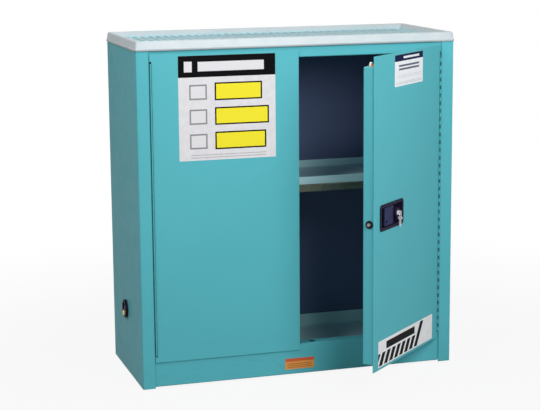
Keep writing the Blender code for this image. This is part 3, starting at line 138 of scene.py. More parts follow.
class TraySizes(bpy.types.PropertyGroup):
    """Shape of the ribbed tray on top of the case"""

    wall: length("Wall", "Thickness of the moulded sheet", 2.4)
    skirt: length("Skirt", "Height of the rim that laps over the case", 7.4)
    ledge: length("Ledge", "Step between the skirt and the wall", 1.5)
    draft: length("Outer draft", "How far the wall leans in up to the rim", 4.5)
    rim: length("Rim", "Width of the flat rim", 11.5)
    slope: length("Inner slope", "How far the inner wall leans in down to the floor", 17.0)
    rim_round: length("Rim round", "Radius of the rim's outer edge", 5.0)
    corner: length("Corner", "Plan radius of the corners", 7.0)
    pitch: length("Rib pitch", "Distance from rib to rib", 27.0)
    foot: length("Rib foot", "Width of a rib at the floor", 17.0)
    crest: length("Rib crest", "Width of a rib at its top", 9.0)
    rise: length("Rib height", "Height of a rib over the floor", 9.0)
    end_gap: length("Rib end gap", "Floor left between a rib's end and the wall", 8.0)


class LabelSizes(bpy.types.PropertyGroup):
    """Thickness, corners and inks of the plain label plates"""

    thickness: length("Thickness", "Thickness of the vinyl", 0.3)
    corner: length("Corner", "Plan radius of a label's corners", 1.5)
    paper: colour("Pale field", "Unprinted vinyl", (218, 216, 219))
    ink: colour("Black ink", "Dark bands", (14, 13, 15))
    yellow: colour("Yellow ink", "Yellow bars", (236, 222, 52))
    navy: colour("Navy ink", "Head of the small label", (16, 22, 62))
    orange: colour("Orange field", "Field of the label on the kick panel", (226, 150, 78))
    red: colour("Red ink", "Head of the label on the kick panel", (206, 98, 62))


class FittingSizes(bpy.types.PropertyGroup):
    """Sizes of the earth screw"""

    screw: length("Screw radius", "Radius across the corners of the earth screw", 5.2)
    screw_rise: length("Screw height", "Height of the earth screw's head", 3.6)


class StageSizes(bpy.types.PropertyGroup):
    """Camera, floor and lamps"""

    lens: FloatProperty(
        name="Lens", description="Focal length of the camera", default=104.314, unit="CAMERA"
    )
    key: power("Key lamp", 68)
    fill: power("Fill lamp", 26)
    top: power("Top lamp", 11)
    sky: FloatProperty(name="Sky", description="Strength of the even light", default=0.2, min=0)
    floor: colour("Floor", "Pale floor", (168, 168, 170))


# Materials


def shade(base, factor, lift=0.0):
    """A colour made darker or paler."""
    return [c * factor + lift for c in base]


def paler(base, factor):
    return [min(1, c * factor) for c in base]


class Wiring:
    """A node tree being wired: each method adds nodes and gives back the last one's output."""

    def __init__(self, tree):
        self.tree = tree

    def add(self, kind, inputs=(), output=0, **settings):
        node = self.tree.nodes.new(kind)
        for key, value in settings.items():
            setattr(node, key, value)
        for key, value in dict(inputs).items():
            self.feed(node.inputs[key], value)
        return node.outputs[output]

    def feed(self, socket, value):
        if isinstance(value, bpy.types.NodeSocket):
            self.tree.links.new(value, socket)
        elif socket.type == "RGBA" and len(value) == 3:
            socket.default_value = (*value, 1)
        else:
            socket.default_value = value

    def math(self, operation, *values):
        return self.add("ShaderNodeMath", enumerate(values), operation=operation)

    def vector(self, operation, *values, output=0):
        return self.add("ShaderNodeVectorMath", enumerate(values), output, operation=operation)

    def backdrop(self):
        """1 for a ray that shows the background: from the camera, a gloss or a clear surface."""
        camera, gloss, clear = (
            self.add("ShaderNodeLightPath", output=f"Is {kind} Ray")
            for kind in ("Camera", "Glossy", "Transmission")
        )
        return self.math("MAXIMUM", self.math("MAXIMUM", camera, gloss), clear)


class Finish(Wiring):
    """A material being wired round its principled shader."""

    CLOUD = (0.3, 0.7)  # the values of noise between which a tone changes
    BROAD = (0.2, 0.8)  # the same for the roughness

    def __init__(self, name, roughness, metallic=0.0):
        self.material = bpy.data.materials.new(name)
        self.material.use_nodes = True
        super().__init__(self.material.node_tree)
        self.shader = self.tree.nodes["Principled BSDF"]
        self.set(Metallic=metallic, Roughness=roughness)

    def set(self, **sockets):
        for key, value in sockets.items():
            self.feed(self.shader.inputs[key.replace("_", " ")], value)
        return self.material

    def here(self):
        return self.add("ShaderNodeTexCoord", output="Object")

    def stretched(self, scale):
        """The object's own place, with each axis scaled."""
        return self.add("ShaderNodeMapping", {"Vector": self.here(), "Scale": scale})

    def noise(self, scale, detail=2.0, rough=0.5, vector=None):
        place = vector or self.here()
        inputs = {"Vector": place, "Scale": scale, "Detail": detail, "Roughness": rough}
        return self.add("ShaderNodeTexNoise", inputs)

    def cells(self, scale):
        return self.add("ShaderNodeTexVoronoi", {"Vector": self.here(), "Scale": scale}, "Color")

    def between(self, value, low, high, to_low=0.0, to_high=1.0):
        source = {"Value": value, "From Min": low, "From Max": high}
        inputs = source | {"To Min": to_low, "To Max": to_high}
        return self.add("ShaderNodeMapRange", inputs, interpolation_type="SMOOTHSTEP")

    def mottle(self, scale, dark, pale, detail=3):
        """Soft patches between two tones."""
        return self.between(self.noise(scale, detail), *self.CLOUD, dark, pale)

    def dulled(self, scale, low, high, detail=3):
        """Soft patches between two roughnesses."""
        return self.between(self.noise(scale, detail), *self.BROAD, low, high)

    def mix(self, share, first, second, blend="MIX"):
        inputs = {0: share, 6: first, 7: second}
        return self.add("ShaderNodeMix", inputs, 2, data_type="RGBA", blend_type=blend)

    def tinted(self, tint, tone):
        return self.mix(1.0, tint, tone, "MULTIPLY")

    def split(self, vector, axis):
        return self.add("ShaderNodeSeparateXYZ", {"Vector": vector}, axis)

    def rounded(self, radius):
        return self.add("ShaderNodeBevel", {"Radius": radius}, samples=6)

    def edges(self, radius):
        """Where the rounded normal leaves the true one: 1 on an edge, 0 away from it."""
        true = self.add("ShaderNodeNewGeometry", output="Normal")
        along = self.vector("DOT_PRODUCT", self.rounded(radius), true, output="Value")
        return self.between(along, 0.985, 0.80)

    def rubbed(self, tint, pale, radius, share):
        """The tint, with a share of a paler one along the edges."""
        return self.mix(self.math("MULTIPLY", self.edges(radius), share), tint, pale)

    def bump(self, height, distance, strength=1.0, normal=None):
        inputs = {"Height": height, "Distance": distance, "Strength": strength}
        if normal:
            inputs["Normal"] = normal
        return self.add("ShaderNodeBump", inputs)


def enamel(name, base, worn, wear, width):
    """Powder coat: a faint mottle, an orange-peel skin, pale worn bends and dull scuffs near the
    floor."""
    finish = Finish(name, roughness=0.42)
    tint = finish.mix(finish.noise(2.2, detail=3), shade(base, 0.94), shade(base, 1.06))
    tint = finish.tinted(tint, finish.mottle(900, 0.97, 1.03, detail=2))
    patchy = finish.between(finish.noise(38, detail=4, rough=0.6), 0.35, 0.62)
    tint = finish.rubbed(tint, worn, width, finish.math("MULTIPLY", patchy, wear))
    low = finish.between(finish.split(finish.here(), 2), 0.22, 0.02)
    scratch = finish.noise(9, detail=5, rough=0.7, vector=finish.stretched((1, 1, 5)))
    scuff = finish.math("MULTIPLY", low, finish.between(scratch, 0.52, 0.72))
    scuff = finish.math("MULTIPLY", scuff, 0.25)
    tint = finish.mix(scuff, tint, shade(base, 0.62, 0.02))
    peel, dents = finish.noise(420), finish.noise(3.0, detail=1)
    skin = finish.bump(peel, 0.12 * MM, 0.5, finish.rounded(width * 0.6))
    skin = finish.bump(dents, 2.5 * MM, 0.12, skin)
    finish.set(Specular_IOR_Level=0.05)
    return finish.set(Base_Color=tint, Roughness=finish.dulled(26, 0.4, 0.5), Normal=skin)


def hinge_with_painted_shade(name, base, axis, radius, flank):
    """Hinge paint, with painted shade making the knuckles dark where their gaps lie in shade. The
    painted shade starts a little outside the barrel's radius, measured from the hinge axis. With a
    flank, a pale line down the front reaches that share of the radius to each side of the axis,
    between two lines of painted shade."""
    finish = Finish(name, roughness=0.4)
    level = finish.stretched((1, 1, 0))
    away = finish.vector("DISTANCE", level, (axis.x, axis.y, 0), output="Value")
    # painted shade over the knuckles, stronger or weaker in random patches
    knuckle_shade = finish.between(away, radius * 1.3, radius * 1.1)
    if flank:
        beside = finish.math("SUBTRACT", finish.split(finish.here(), 0), axis.x)
        beside = finish.math("ABSOLUTE", beside)
        beside = finish.between(beside, radius * flank, radius * flank * 1.6)
        knuckle_shade = finish.math("MULTIPLY", knuckle_shade, beside)
    patchy = finish.between(finish.noise(70, detail=3), 0.25, 0.6, 0.75, 1.0)
    tint = finish.mix(finish.math("MULTIPLY", knuckle_shade, patchy), base, shade(base, 0.24))
    tint = finish.rubbed(tint, base, 0.6 * MM, 0.3)
    rough = finish.between(patchy, 0.7, 1.0, 0.5, 0.35)
    skin = finish.bump(finish.noise(420), 0.12 * MM, 0.5)
    finish.set(Specular_IOR_Level=0.1)
    return finish.set(Base_Color=tint, Roughness=rough, Normal=skin)


def polyethylene(name, rim, floor, low, high, middle=(0, 0), half=(9, 9), inset=0.03):
    """Natural polyethylene: pale and waxy, finely pebbled, deeper in tint where its floor lies on
    the paint. The rim's tint takes over from the low to the high level, and nearer to the outline
    than the inset. The outline lies half its size from the middle, both ways, and out of reach if
    none is given."""
    finish = Finish(name, roughness=0.42)
    risen = finish.between(finish.split(finish.here(), 2), low, high)
    inside = []
    for axis in (0, 1):
        away = finish.math("SUBTRACT", finish.split(finish.here(), axis), middle[axis])
        inside.append(finish.math("SUBTRACT", half[axis], finish.math("ABSOLUTE", away)))
    outer = finish.between(finish.math("MINIMUM", *inside), inset, inset * 0.6)
    tint = finish.mix(finish.math("MAXIMUM", risen, outer), floor, rim)
    tint = finish.tinted(tint, finish.mottle(7, 0.965, 1.03))
    tint = finish.rubbed(tint, paler(rim, 1.12), 1.6 * MM, 0.35)
    skin = finish.bump(finish.noise(650), 0.09 * MM, 0.5, finish.rounded(1.0 * MM))
    finish.set(Subsurface_Weight=0.12, Subsurface_Scale=6 * MM)
    return finish.set(Base_Color=tint, Roughness=finish.dulled(30, 0.36, 0.5), Normal=skin)


def moulded(name, base, gloss):
    """Moulded plastic: a fine spark-eroded grain, paler where fingers rub its edges."""
    finish = Finish(name, roughness=gloss)
    tint = finish.tinted(base, finish.mottle(60, 0.85, 1.2))
    tint = finish.rubbed(tint, shade(base, 1.8, 0.01), 0.9 * MM, 0.35)
    grain = finish.noise(700, detail=3)
    skin = finish.bump(grain, 0.08 * MM, 0.5, finish.rounded(0.6 * MM))
    rough = finish.dulled(80, gloss - 0.06, gloss + 0.06, detail=2)
    finish.set(Specular_IOR_Level=0.03)
    return finish.set(Base_Color=tint, Roughness=rough, Normal=skin)


def metal(name, base, gloss, brushed=(1, 1, 1), spangle=0.0, lustre=1.0):
    """Bare or plated metal: fine lines from drawing or crystals from zinc, duller in patches,
    bright on edges."""
    finish = Finish(name, gloss, lustre)
    lines = finish.noise(900, detail=3, rough=0.6, vector=finish.stretched(brushed))
    tint = finish.mix(finish.between(lines, *finish.CLOUD), shade(base, 0.86), base)
    if spangle:
        crystal = finish.split(finish.cells(70), 0)
        tint = finish.tinted(tint, finish.between(crystal, 0.0, 1.0, 1 - spangle, 1 + spangle))
    tint = finish.rubbed(tint, paler(base, 1.3), 0.8 * MM, 0.6)
    skin = finish.bump(lines, 0.04 * MM, 0.5, finish.rounded(0.5 * MM))
    rough = finish.dulled(45, gloss - 0.06, gloss + 0.1)
    return finish.set(Base_Color=tint, Roughness=rough, Normal=skin)


def wire_gauze(name, base):
    """Woven wire: two crossed rows of round wires a pitch apart, each row the height of a sine
    without its sign, with painted shade, nearly black, where the weave is open."""
    finish = Finish(name, roughness=0.4, metallic=0.9)
    pitch = 0.8 * MM
    rows = []
    for axis in (1, 2):
        phase = finish.math("MULTIPLY", finish.split(finish.here(), axis), math.pi / pitch)
        rows.append(finish.math("ABSOLUTE", finish.math("SINE", phase)))
    weave = finish.math("MAXIMUM", *rows)
    # painted shade: the open weave is painted nearly black for the shade behind the gauze
    tint = finish.mix(finish.between(weave, 0.55, 0.8), shade(base, 0.06), base)
    return finish.set(Base_Color=tint, Normal=finish.bump(weave, 0.4 * MM))


class Print(Finish):
    """The printed face of a label: plain bars laid over a field. The sides of a bar are its left,
    right, low and high, in shares of the label's width and height."""

    def __init__(self, name, field):
        super().__init__(name, roughness=0.38)
        self.place = self.add("ShaderNodeUVMap", output="UV", uv_map="print")
        self.tint = self.tinted(field, self.mottle(55, 0.96, 1.03))

    def inside(self, left, right, low, high):
        """1 where neither way from the bar's middle is longer than half the bar."""
        middle = ((left + right) / 2, (low + high) / 2, 0)
        away = self.vector("ABSOLUTE", self.vector("SUBTRACT", self.place, middle))
        over = self.math("SUBTRACT", self.split(away, 0), (right - left) / 2)
        above = self.math("SUBTRACT", self.split(away, 1), (high - low) / 2)
        return self.math("LESS_THAN", self.math("MAXIMUM", over, above), 0.0)

    def cover(self, ink, sides, share):
        covered = self.math("MULTIPLY", share, self.inside(*sides))
        self.tint = self.mix(covered, self.tint, ink)

    def bar(self, ink, *sides):
        self.cover(ink, sides, 1.0)

    def slanted(self, ink, sides, count, lean, share, last):
        """Slanted bars: a bar's place along the label, less its lean with height, repeats count
        times and stops at the last bar."""
        across = self.math("MULTIPLY", self.split(self.place, 0), count)
        risen = self.math("MULTIPLY", self.split(self.place, 1), lean)
        along = self.math("SUBTRACT", across, risen)
        bars = self.math("LESS_THAN", self.math("FRACT", along), share)
        kept = self.math("LESS_THAN", along, last)
        self.cover(ink, sides, self.math("MULTIPLY", bars, kept))

    def lines(self, ink, sides, count, share, strength):
        """Even lines across a block, each as high as its share of the distance between two."""
        low, high = sides[2:]
        up = self.math("SUBTRACT", self.split(self.place, 1), low)
        phase = self.math("FRACT", self.math("MULTIPLY", up, count / (high - low)))
        dark = self.math("LESS_THAN", phase, share)
        self.cover(ink, sides, self.math("MULTIPLY", dark, strength))

    def done(self):
        tint = self.rubbed(self.tint, (0.75, 0.75, 0.74), 1.2 * MM, 0.3)
        skin = self.bump(self.noise(90), 0.1 * MM, 0.4)
        self.set(Specular_IOR_Level=0.02)
        return self.set(Base_Color=tint, Roughness=self.dulled(40, 0.32, 0.46), Normal=skin)


# Shapes


def rounded_path(points, radii, steps):
    """A polyline whose inner corners give way to arcs that touch both sides. Each arc's centre
    lies on the corner's bisector, radius over the sine of half the angle away, and its points turn
    evenly about it."""
    points = np.array(points, float)
    found = [points[:1]]
    for before, here, after, radius in zip(points, points[1:], points[2:], radii):
        sides = [side / np.linalg.norm(side) for side in (before - here, after - here)]
        half = np.arccos(np.clip(sides[0] @ sides[1], -1, 1)) / 2
        bisector = sides[0] + sides[1]
        middle = here + bisector / np.linalg.norm(bisector) * radius / np.sin(half)
        start, end = (here + side * radius / np.tan(half) - middle for side in sides)
        full = np.pi - 2 * half
        turn = np.linspace(0, 1, steps + 1)[:, None] * full
        found.append(middle + (np.sin(full - turn) * start + np.sin(turn) * end) / np.sin(full))
    found.append(points[-1:])
    return np.concatenate(found)


def grid_faces(rows, columns, wrap=False, start=0):
    """Quads of a grid of points kept row by row; with wrap, the last column joins the first."""
    row = np.arange(rows - 1)[:, None] * columns
    column = np.arange(columns if wrap else columns - 1)[None, :]
    after = (column + 1) % columns
    quads = [row + column, row + after, row + columns + after, row + columns + column]
    return np.stack(quads, -1).reshape(-1, 4) + start


STEPS = 24  # points in each ring of the earth screw and of a label


def capped_faces(rings):
    """Quads between closed rings of points, and one face over each of the two end rings."""
    last = (rings - 1) * STEPS
    ends = [list(range(STEPS))[::-1], list(range(last, last + STEPS))]
    return grid_faces(rings, STEPS, True).tolist() + ends


def circle(start=0.0):
    """Points of a circle of radius 1: the cosine and the sine of even turns from the start."""
    turn = np.linspace(0, math.tau, STEPS, endpoint=False) + start
    return np.stack([np.cos(turn), np.sin(turn)], -1)


def turned(profile):
    """A revolved profile: radius times the cosine and sine of the turn, height as it is. The
    profile starts and ends near the axis, where a face closes it."""
    profile = np.array(profile, float)
    plan = profile[:, :1, None] * circle()
    height = np.repeat(profile[:, 1:, None], STEPS, axis=1)
    points = np.concatenate([plan, height], -1).reshape(-1, 3)
    return points, capped_faces(len(profile))


def placed(points, place):
    """Every point turned and moved by one 4 by 4 place, as one array product."""
    place = np.array(place)
    return points @ place[:3, :3].T + place[:3, 3]


def piece(name, shape, body, material, flat_over):
    """Puts points and faces into a mesh at the origin, with its finish, and lets it ride on a
    body. Edges that bend by more than flat_over degrees stay sharp."""
    points, faces = shape
    mesh = bpy.data.meshes.new(name)
    mesh.from_pydata(points.tolist(), [], [list(map(int, face)) for face in faces])
    mesh.validate()
    mesh.materials.append(material)
    mesh.polygons.foreach_set("use_smooth", np.full(len(mesh.polygons), True))
    mesh.set_sharp_from_angle(angle=math.radians(flat_over))
    made = bpy.data.objects.new(name, mesh)
    bpy.context.scene.collection.objects.link(made)
    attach(made, body)
    return made


UPRIGHT = Matrix(((1, 0, 0, 0), (0, 0, -1, 0), (0, 1, 0, 0), (0, 0, 0, 1)))


def panel_place(panel, along, height):
    """A place on a panel's outer face: its columns run to the viewer's right, up and out of the
    face. On the right door, whose face is level with the left door's when it is shut, along is
    counted from the hinge axis, and the place is turned about that axis by the angle at which the
    door stands open."""
    if panel != "right_door_skin":
        return Matrix.Translation((along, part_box(panel)[0].y, height)) @ UPRIGHT
    swing = next(joint for joint in frame["joints"] if joint["name"] == "right_door_swing")
    axis = Vector(swing["pos_m"])
    turn = Matrix.Rotation(-math.radians(swing["range_deg"][0]), 4, "Z")
    shut = Matrix.Translation((-along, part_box("left_door_skin")[0].y - axis.y, height))
    return Matrix.Translation((axis.x, axis.y, 0)) @ turn @ shut @ UPRIGHT


def label_shape(width, height, thickness, corner):
    """A thin plate with round corners: the same outline at the back, at the front and drawn in a
    little on the face. The outline is each corner's centre plus its radius, turned."""
    out = circle(math.pi / STEPS)
    centre = np.sign(out) * (np.array([width, height]) / 2 - corner)
    drawn_in = min(thickness / 2, corner / 2)
    rings = [(corner, 0), (corner, thickness - drawn_in), (corner - drawn_in, thickness)]
    points = [
        np.column_stack([centre + radius * out, np.full(STEPS, level)]) for radius, level in rings
    ]
    return np.concatenate(points), capped_faces(len(rings))


def label(name, panel, body, centre, size, material, sizes):
    """A label plate on a panel, whose UV map runs from 0 to 1 over its width and height."""
    points, faces = label_shape(*size, sizes.thickness, sizes.corner)
    shape = placed(points, panel_place(panel, *centre)), faces
    made = piece(name, shape, body, material, flat_over=20)
    shares = points[:, :2] / np.array(size) + 0.5
    corners = np.empty(len(made.data.loops), np.int32)
    made.data.loops.foreach_get("vertex_index", corners)
    layer = made.data.uv_layers.new(name="print")
    layer.data.foreach_set("uv", shares[corners].astype(np.float32).ravel())


FLANK = np.array([0, 0.3, 0.6, 1.0])  # lines of the floor's grid across a rib's flank, as shares
FLOOR_CORNER = 4 * MM  # plan radius where the floor meets the wall


def tray_profile(sizes, floor, rim):
    """The tray's section from the skirt over the rim to the floor: how far each point lies inside
    the outer face, and its height."""
    inner = sizes.draft + sizes.rim
    foot = inner + sizes.slope
    points = [
        (0, floor - sizes.skirt),
        (0, floor - sizes.ledge * 0.1),
        (sizes.ledge, floor),
        (sizes.draft, rim),
        (inner, rim),
        (foot, floor),
        (foot + 12 * MM, floor),
    ]
    radii = [0.6 * MM, 0.5 * MM, sizes.rim_round, 4.5 * MM, 7 * MM]
    return rounded_path(points, radii, steps=3)[:-1]


def side_lines(half, lines):
    """Lines of the floor's grid along one side: the given ones and closer ones in the corners."""
    start = half - FLOOR_CORNER
    lines = lines[np.abs(lines) < start - 0.1 * MM]
    turn = np.tan(np.linspace(0, math.pi / 4, 4)) * FLOOR_CORNER
    return np.unique(np.concatenate([lines, start + turn, -start - turn]).round(6))


def ribbed_floor(sizes, flat, edge, level):
    """The floor's grid, with round corners: a point in a corner moves towards the corner's centre
    until its distance is what its larger step was. Its height is the rib's rise times a smooth
    step of how far it lies inside the rib's foot. Flat is half the size of the level floor and
    edge is half the size of the grid."""
    count = int((2 * flat[0] - sizes.end_gap) / sizes.pitch)
    centres = (np.arange(count) - (count - 1) / 2) * sizes.pitch
    foot, reach = sizes.foot / 2, flat[1] - sizes.end_gap
    slope = foot - sizes.crest / 2
    across = np.concatenate([-foot + slope * FLANK, [0], foot - slope * FLANK])
    ends = reach - slope * np.append(FLANK, 1.8)
    x = side_lines(edge[0], (centres[:, None] + np.unique(across)).ravel())
    y = side_lines(edge[1], np.concatenate([ends, -ends, [0.0]]))
    grid = np.stack(np.meshgrid(x, y), -1).reshape(-1, 2)
    core = np.clip(grid, FLOOR_CORNER - edge, edge - FLOOR_CORNER)
    off = grid - core
    square, true = np.abs(off).max(1), np.linalg.norm(off, axis=1)
    grid = core + off * (square / np.maximum(true, 1e-9))[:, None]
    nearest = np.abs(grid[:, :1] - centres).min(1)
    end = np.maximum(np.abs(grid[:, 1]) - (reach - foot), 0)
    depth = np.clip((foot - np.hypot(nearest, end)) / slope, 0, 1)
    rise = sizes.rise * depth * depth * (3 - 2 * depth)
    return np.column_stack([grid, level + rise]), len(y), len(x)


def tray_walls(sizes, profile, border, edge):
    """Rings of the tray's section round the floor's border, from the floor outwards. A border
    point moves straight out by the section's offset. In a corner it moves out from the corner's
    centre, and once the plan radius is the tray's own, the centre moves out instead."""
    middle = np.clip(border, FLOOR_CORNER - edge, edge - FLOOR_CORNER)
    out = border - middle
    out = out / np.maximum(np.linalg.norm(out, axis=1), 1e-9)[:, None]
    turns = (np.abs(border) > edge - FLOOR_CORNER - 1e-6).all(1)
    rings = profile[:-1][::-1]
    full = FLOOR_CORNER + profile[-1, 0] - rings[:, 0]
    radius = np.minimum(full, sizes.corner)
    shift = np.sign(border) * (full - radius)[:, None, None] * turns[:, None]
    reach = np.where(turns, radius[:, None], full[:, None])
    plan = middle + shift + out * reach[..., None]
    level = np.repeat(rings[:, 1:2], len(border), axis=1)[..., None]
    return np.concatenate([plan, level], -1).reshape(-1, 3), len(rings)


def ribbed_tray(sizes, half, floor, rim):
    """One moulded sheet, seen from above: the ribbed floor and the walls, joined by a strip of
    quads between the floor's border and the first ring of the walls."""
    profile = tray_profile(sizes, floor, rim)
    edge = half - profile[-1, 0]
    flat = half - sizes.draft - sizes.rim - sizes.slope
    inner, rows, columns = ribbed_floor(sizes, flat, edge, floor)
    index = np.arange(rows * columns).reshape(rows, columns)
    loop = np.concatenate([index[0, :-1], index[:-1, -1], index[-1, :0:-1], index[:0:-1, 0]])
    outer, rings = tray_walls(sizes, profile, inner[loop, :2], edge)
    first = len(inner) + np.arange(len(loop))
    strip = np.stack([np.roll(loop, -1), loop, first, np.roll(first, -1)], -1)
    walls = grid_faces(rings, len(loop), True, len(inner))[:, ::-1]
    faces = np.concatenate([grid_faces(rows, columns), strip, walls])
    return np.concatenate([inner, outer]), faces


# Operators


PAINTED = (
    "back_panel base_panel top_panel left_side_panel right_side_panel header_panel kick_panel "
    "left_door_skin right_door_skin left_door_liner right_door_liner latch_bracket "
    "right_hinge_frame_leaf"
).split()
INNER = "inner_left_wall inner_right_wall inner_back_wall inner_top_panel inner_floor_pan".split()
ZINC = (
    "mid_bolt hanger_front_left hanger_front_right hanger_rear_left hanger_rear_right "
    "left_hinge_pin right_hinge_pin paddle_pin"
).split()
BRIGHT = "top_bolt bottom_bolt left_top_flush_bolt left_bottom_flush_bolt lock_plug".split()
KEYS = "key spare_key key_ring".split()
BLACK = (
    "handle_housing mid_bolt_bushing foot_front_left foot_front_right foot_rear_left "
    "foot_rear_right left_vent_bung right_vent_bung left_vent_plug right_vent_plug"
).split()
GUIDES = (
    "left_top_bolt_guide left_bottom_bolt_guide right_top_bolt_guide right_bottom_bolt_guide"
).split()
SOFTENED = (
    "left_side_panel right_side_panel header_panel kick_panel left_door_skin right_door_skin "
    "left_door_liner right_door_liner top_panel back_panel base_panel"
).split()
WELD_REACH = 0.01 * MM
SMOOTH_UNDER, BEND_OVER = 32, 50  # degrees by which an edge bends: shaded smooth, or rounded


class CABINET_OT_finishes(bpy.types.Operator):
    """Give every carried-over solid its paint, plastic or metal, and round the sheets' edges"""

    bl_idname = "cabinet.finishes"
    bl_label = "Finishes"

    def execute(self, context):
        scene = context.scene
        paint, plastic, bare = scene.cabinet_paint, scene.cabinet_plastic, scene.cabinet_metal
        worn = paint.worn, paint.wear, paint.wear_width
        dim = shade(paint.inside, 1.6), 0.3, paint.wear_width
        liner = plastic.liner, plastic.liner, 0.0, 0.01
        plated = {"spangle": 0.12, "lustre": 0.85}
        drawn = {"brushed": (1, 1, 0.1), "lustre": 0.9}
        looks = [
            (PAINTED, enamel("outside_paint", paint.outside, *worn)),
            # the inner walls carry painted shade: dark navy paint in place of the outside paint's
            # teal
            (INNER, enamel("inside_paint", paint.inside, *dim)),
            # the inner trays' colour holds painted light: paler and bluer than their plastic
            (["shelf_tray", "sump_tray"], polyethylene("liner_polyethylene", *liner)),
            (ZINC, metal("zinc_finish", bare.zinc, 0.42, **plated)),
            # the shelf gets painted shade: its zinc is darker than that of the pins and hangers
            (["shelf"], metal("shelf_zinc", bare.shelf, 0.42, **plated)),
            (BRIGHT, metal("bright_steel_finish", bare.bright, 0.32, **drawn)),
            (KEYS, metal("key_nickel", bare.nickel, 0.28, lustre=0.3)),
            (self.pair("vent_fitting"), metal("brass_finish", bare.brass, 0.3, lustre=0.75)),
            (self.pair("flame_arrester"), wire_gauze("wire_gauze", bare.zinc)),
            (BLACK, moulded("handle_plastic", plastic.handle, 0.42)),
            (["pull_paddle"], moulded("paddle_plastic", plastic.paddle, 0.34)),
            (GUIDES, moulded("amber_plastic_finish", bare.amber, 0.4)),
            # the hinges carry painted shade on their knuckles
            (["left_hinge_frame_leaf", "left_hinge_door_leaf"], self.hinge("left", paint, 0.4)),
            (["right_hinge_door_leaf"], self.hinge("right", paint, 0.0)),
        ]
        for names, material in looks:
            self.dress(names, material)
        dressed = {name for names, _ in looks for name in names}
        missing = set(frame["nodes"]) - dressed - {"top_tray"}  # the ribbed tray replaces it
        if missing:
            raise RuntimeError(f"no finish for {sorted(missing)}")
        smooth = self.smooth_group()
        for name, solid in frame["nodes"].items():
            solid.modifiers.new("joined", "WELD").merge_threshold = WELD_REACH
            if name in SOFTENED:
                self.soften(solid, paint.edge)
            else:
                solid.modifiers.new("smooth", "NODES").node_group = smooth
        return {"FINISHED"}

    def pair(self, name):
        return [f"{side}_{name}" for side in ("left", "right")]

    def hinge(self, side, paint, flank):
        """The paint of one hinge, whose barrel's radius is read from the leaf that stays put."""
        low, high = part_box(f"{side}_hinge_pin")
        axis = (low + high) / 2
        radius = axis.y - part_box(f"{side}_hinge_frame_leaf")[0].y
        return hinge_with_painted_shade(f"{side}_hinge_paint", paint.outside, axis, radius, flank)

    def dress(self, names, material):
        for name in names:
            solid = frame["nodes"][name]
            solid.data.materials.clear()
            solid.data.materials.append(material)

    def smooth_group(self):
        """Shades faces smooth, and keeps as sharp each edge that bends by too much."""
        group = bpy.data.node_groups.new("smooth_by_angle", "GeometryNodeTree")
        for way in ("INPUT", "OUTPUT"):
            group.interface.new_socket("Geometry", in_out=way, socket_type="NodeSocketGeometry")
        entry, leave = group.nodes.new("NodeGroupInput"), group.nodes.new("NodeGroupOutput")
        faces, edges = (group.nodes.new("GeometryNodeSetShadeSmooth") for _ in range(2))
        faces.domain, edges.domain = "FACE", "EDGE"
        bend = group.nodes.new("GeometryNodeInputMeshEdgeAngle")
        slight = group.nodes.new("FunctionNodeCompare")
        slight.operation = "LESS_THAN"
        slight.inputs["B"].default_value = math.radians(SMOOTH_UNDER)
        group.links.new(bend.outputs["Unsigned Angle"], slight.inputs["A"])
        group.links.new(entry.outputs[0], faces.inputs["Geometry"])
        group.links.new(faces.outputs[0], edges.inputs["Geometry"])
        group.links.new(slight.outputs[0], edges.inputs["Shade Smooth"])
        group.links.new(edges.outputs[0], leave.inputs[0])
        return group

    def soften(self, solid, radius):
        """Rounds the right-angled edges of a folded sheet."""
        bend = solid.modifiers.new("bends", "BEVEL")
        bend.width = radius
        bend.segments = 2
        bend.limit_method = "ANGLE"
        bend.angle_limit = math.radians(BEND_OVER)


class CABINET_OT_top_tray(bpy.types.Operator):
    """Mould the ribbed tray that lies on the case"""

    bl_idname = "cabinet.top_tray"
    bl_label = "Top tray"

    def execute(self, context):
        sizes, plastic = context.scene.cabinet_tray, context.scene.cabinet_plastic
        low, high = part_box("top_tray")
        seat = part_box("top_panel")[1].z + 0.3 * MM
        floor = seat + sizes.wall
        half, middle = (high - low) / 2, (high + low) / 2
        points, faces = ribbed_tray(sizes, np.array(half)[:2], floor, high.z)
        points[:, :2] += np.array(middle)[:2]
        tints = plastic.tray, plastic.tray_floor
        levels = floor + 3 * MM, high.z - 10 * MM
        inset = sizes.draft + sizes.rim + 4 * MM
        material = polyethylene("tray_polyethylene", *tints, *levels, middle, half, inset)
        made = piece("ribbed_tray", (points, faces), "top_tray", material, flat_over=60)
        wall = made.modifiers.new("wall", "SOLIDIFY")
        wall.thickness = sizes.wall
        wall.offset = -1
        wall.use_even_offset = True
        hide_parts("top_tray")
        return {"FINISHED"}


PLATES = (  # name, panel, body, the centre's place along and up the panel, width and height
    ("left_door_label", "left_door_skin", "left_door", (-0.246, 0.92875), (0.326, 0.3405)),
    ("right_door_label", "right_door_skin", "right_door", (0.2465, 1.0485), (0.211, 0.101)),
    ("right_door_strip", "right_door_skin", "right_door", (0.2535, 0.1435), (0.417, 0.087)),
    ("kick_label", "kick_panel", "cabinet", (-0.0025, 0.045), (0.103, 0.038)),
)
GREY = (0.25, 0.25, 0.27)


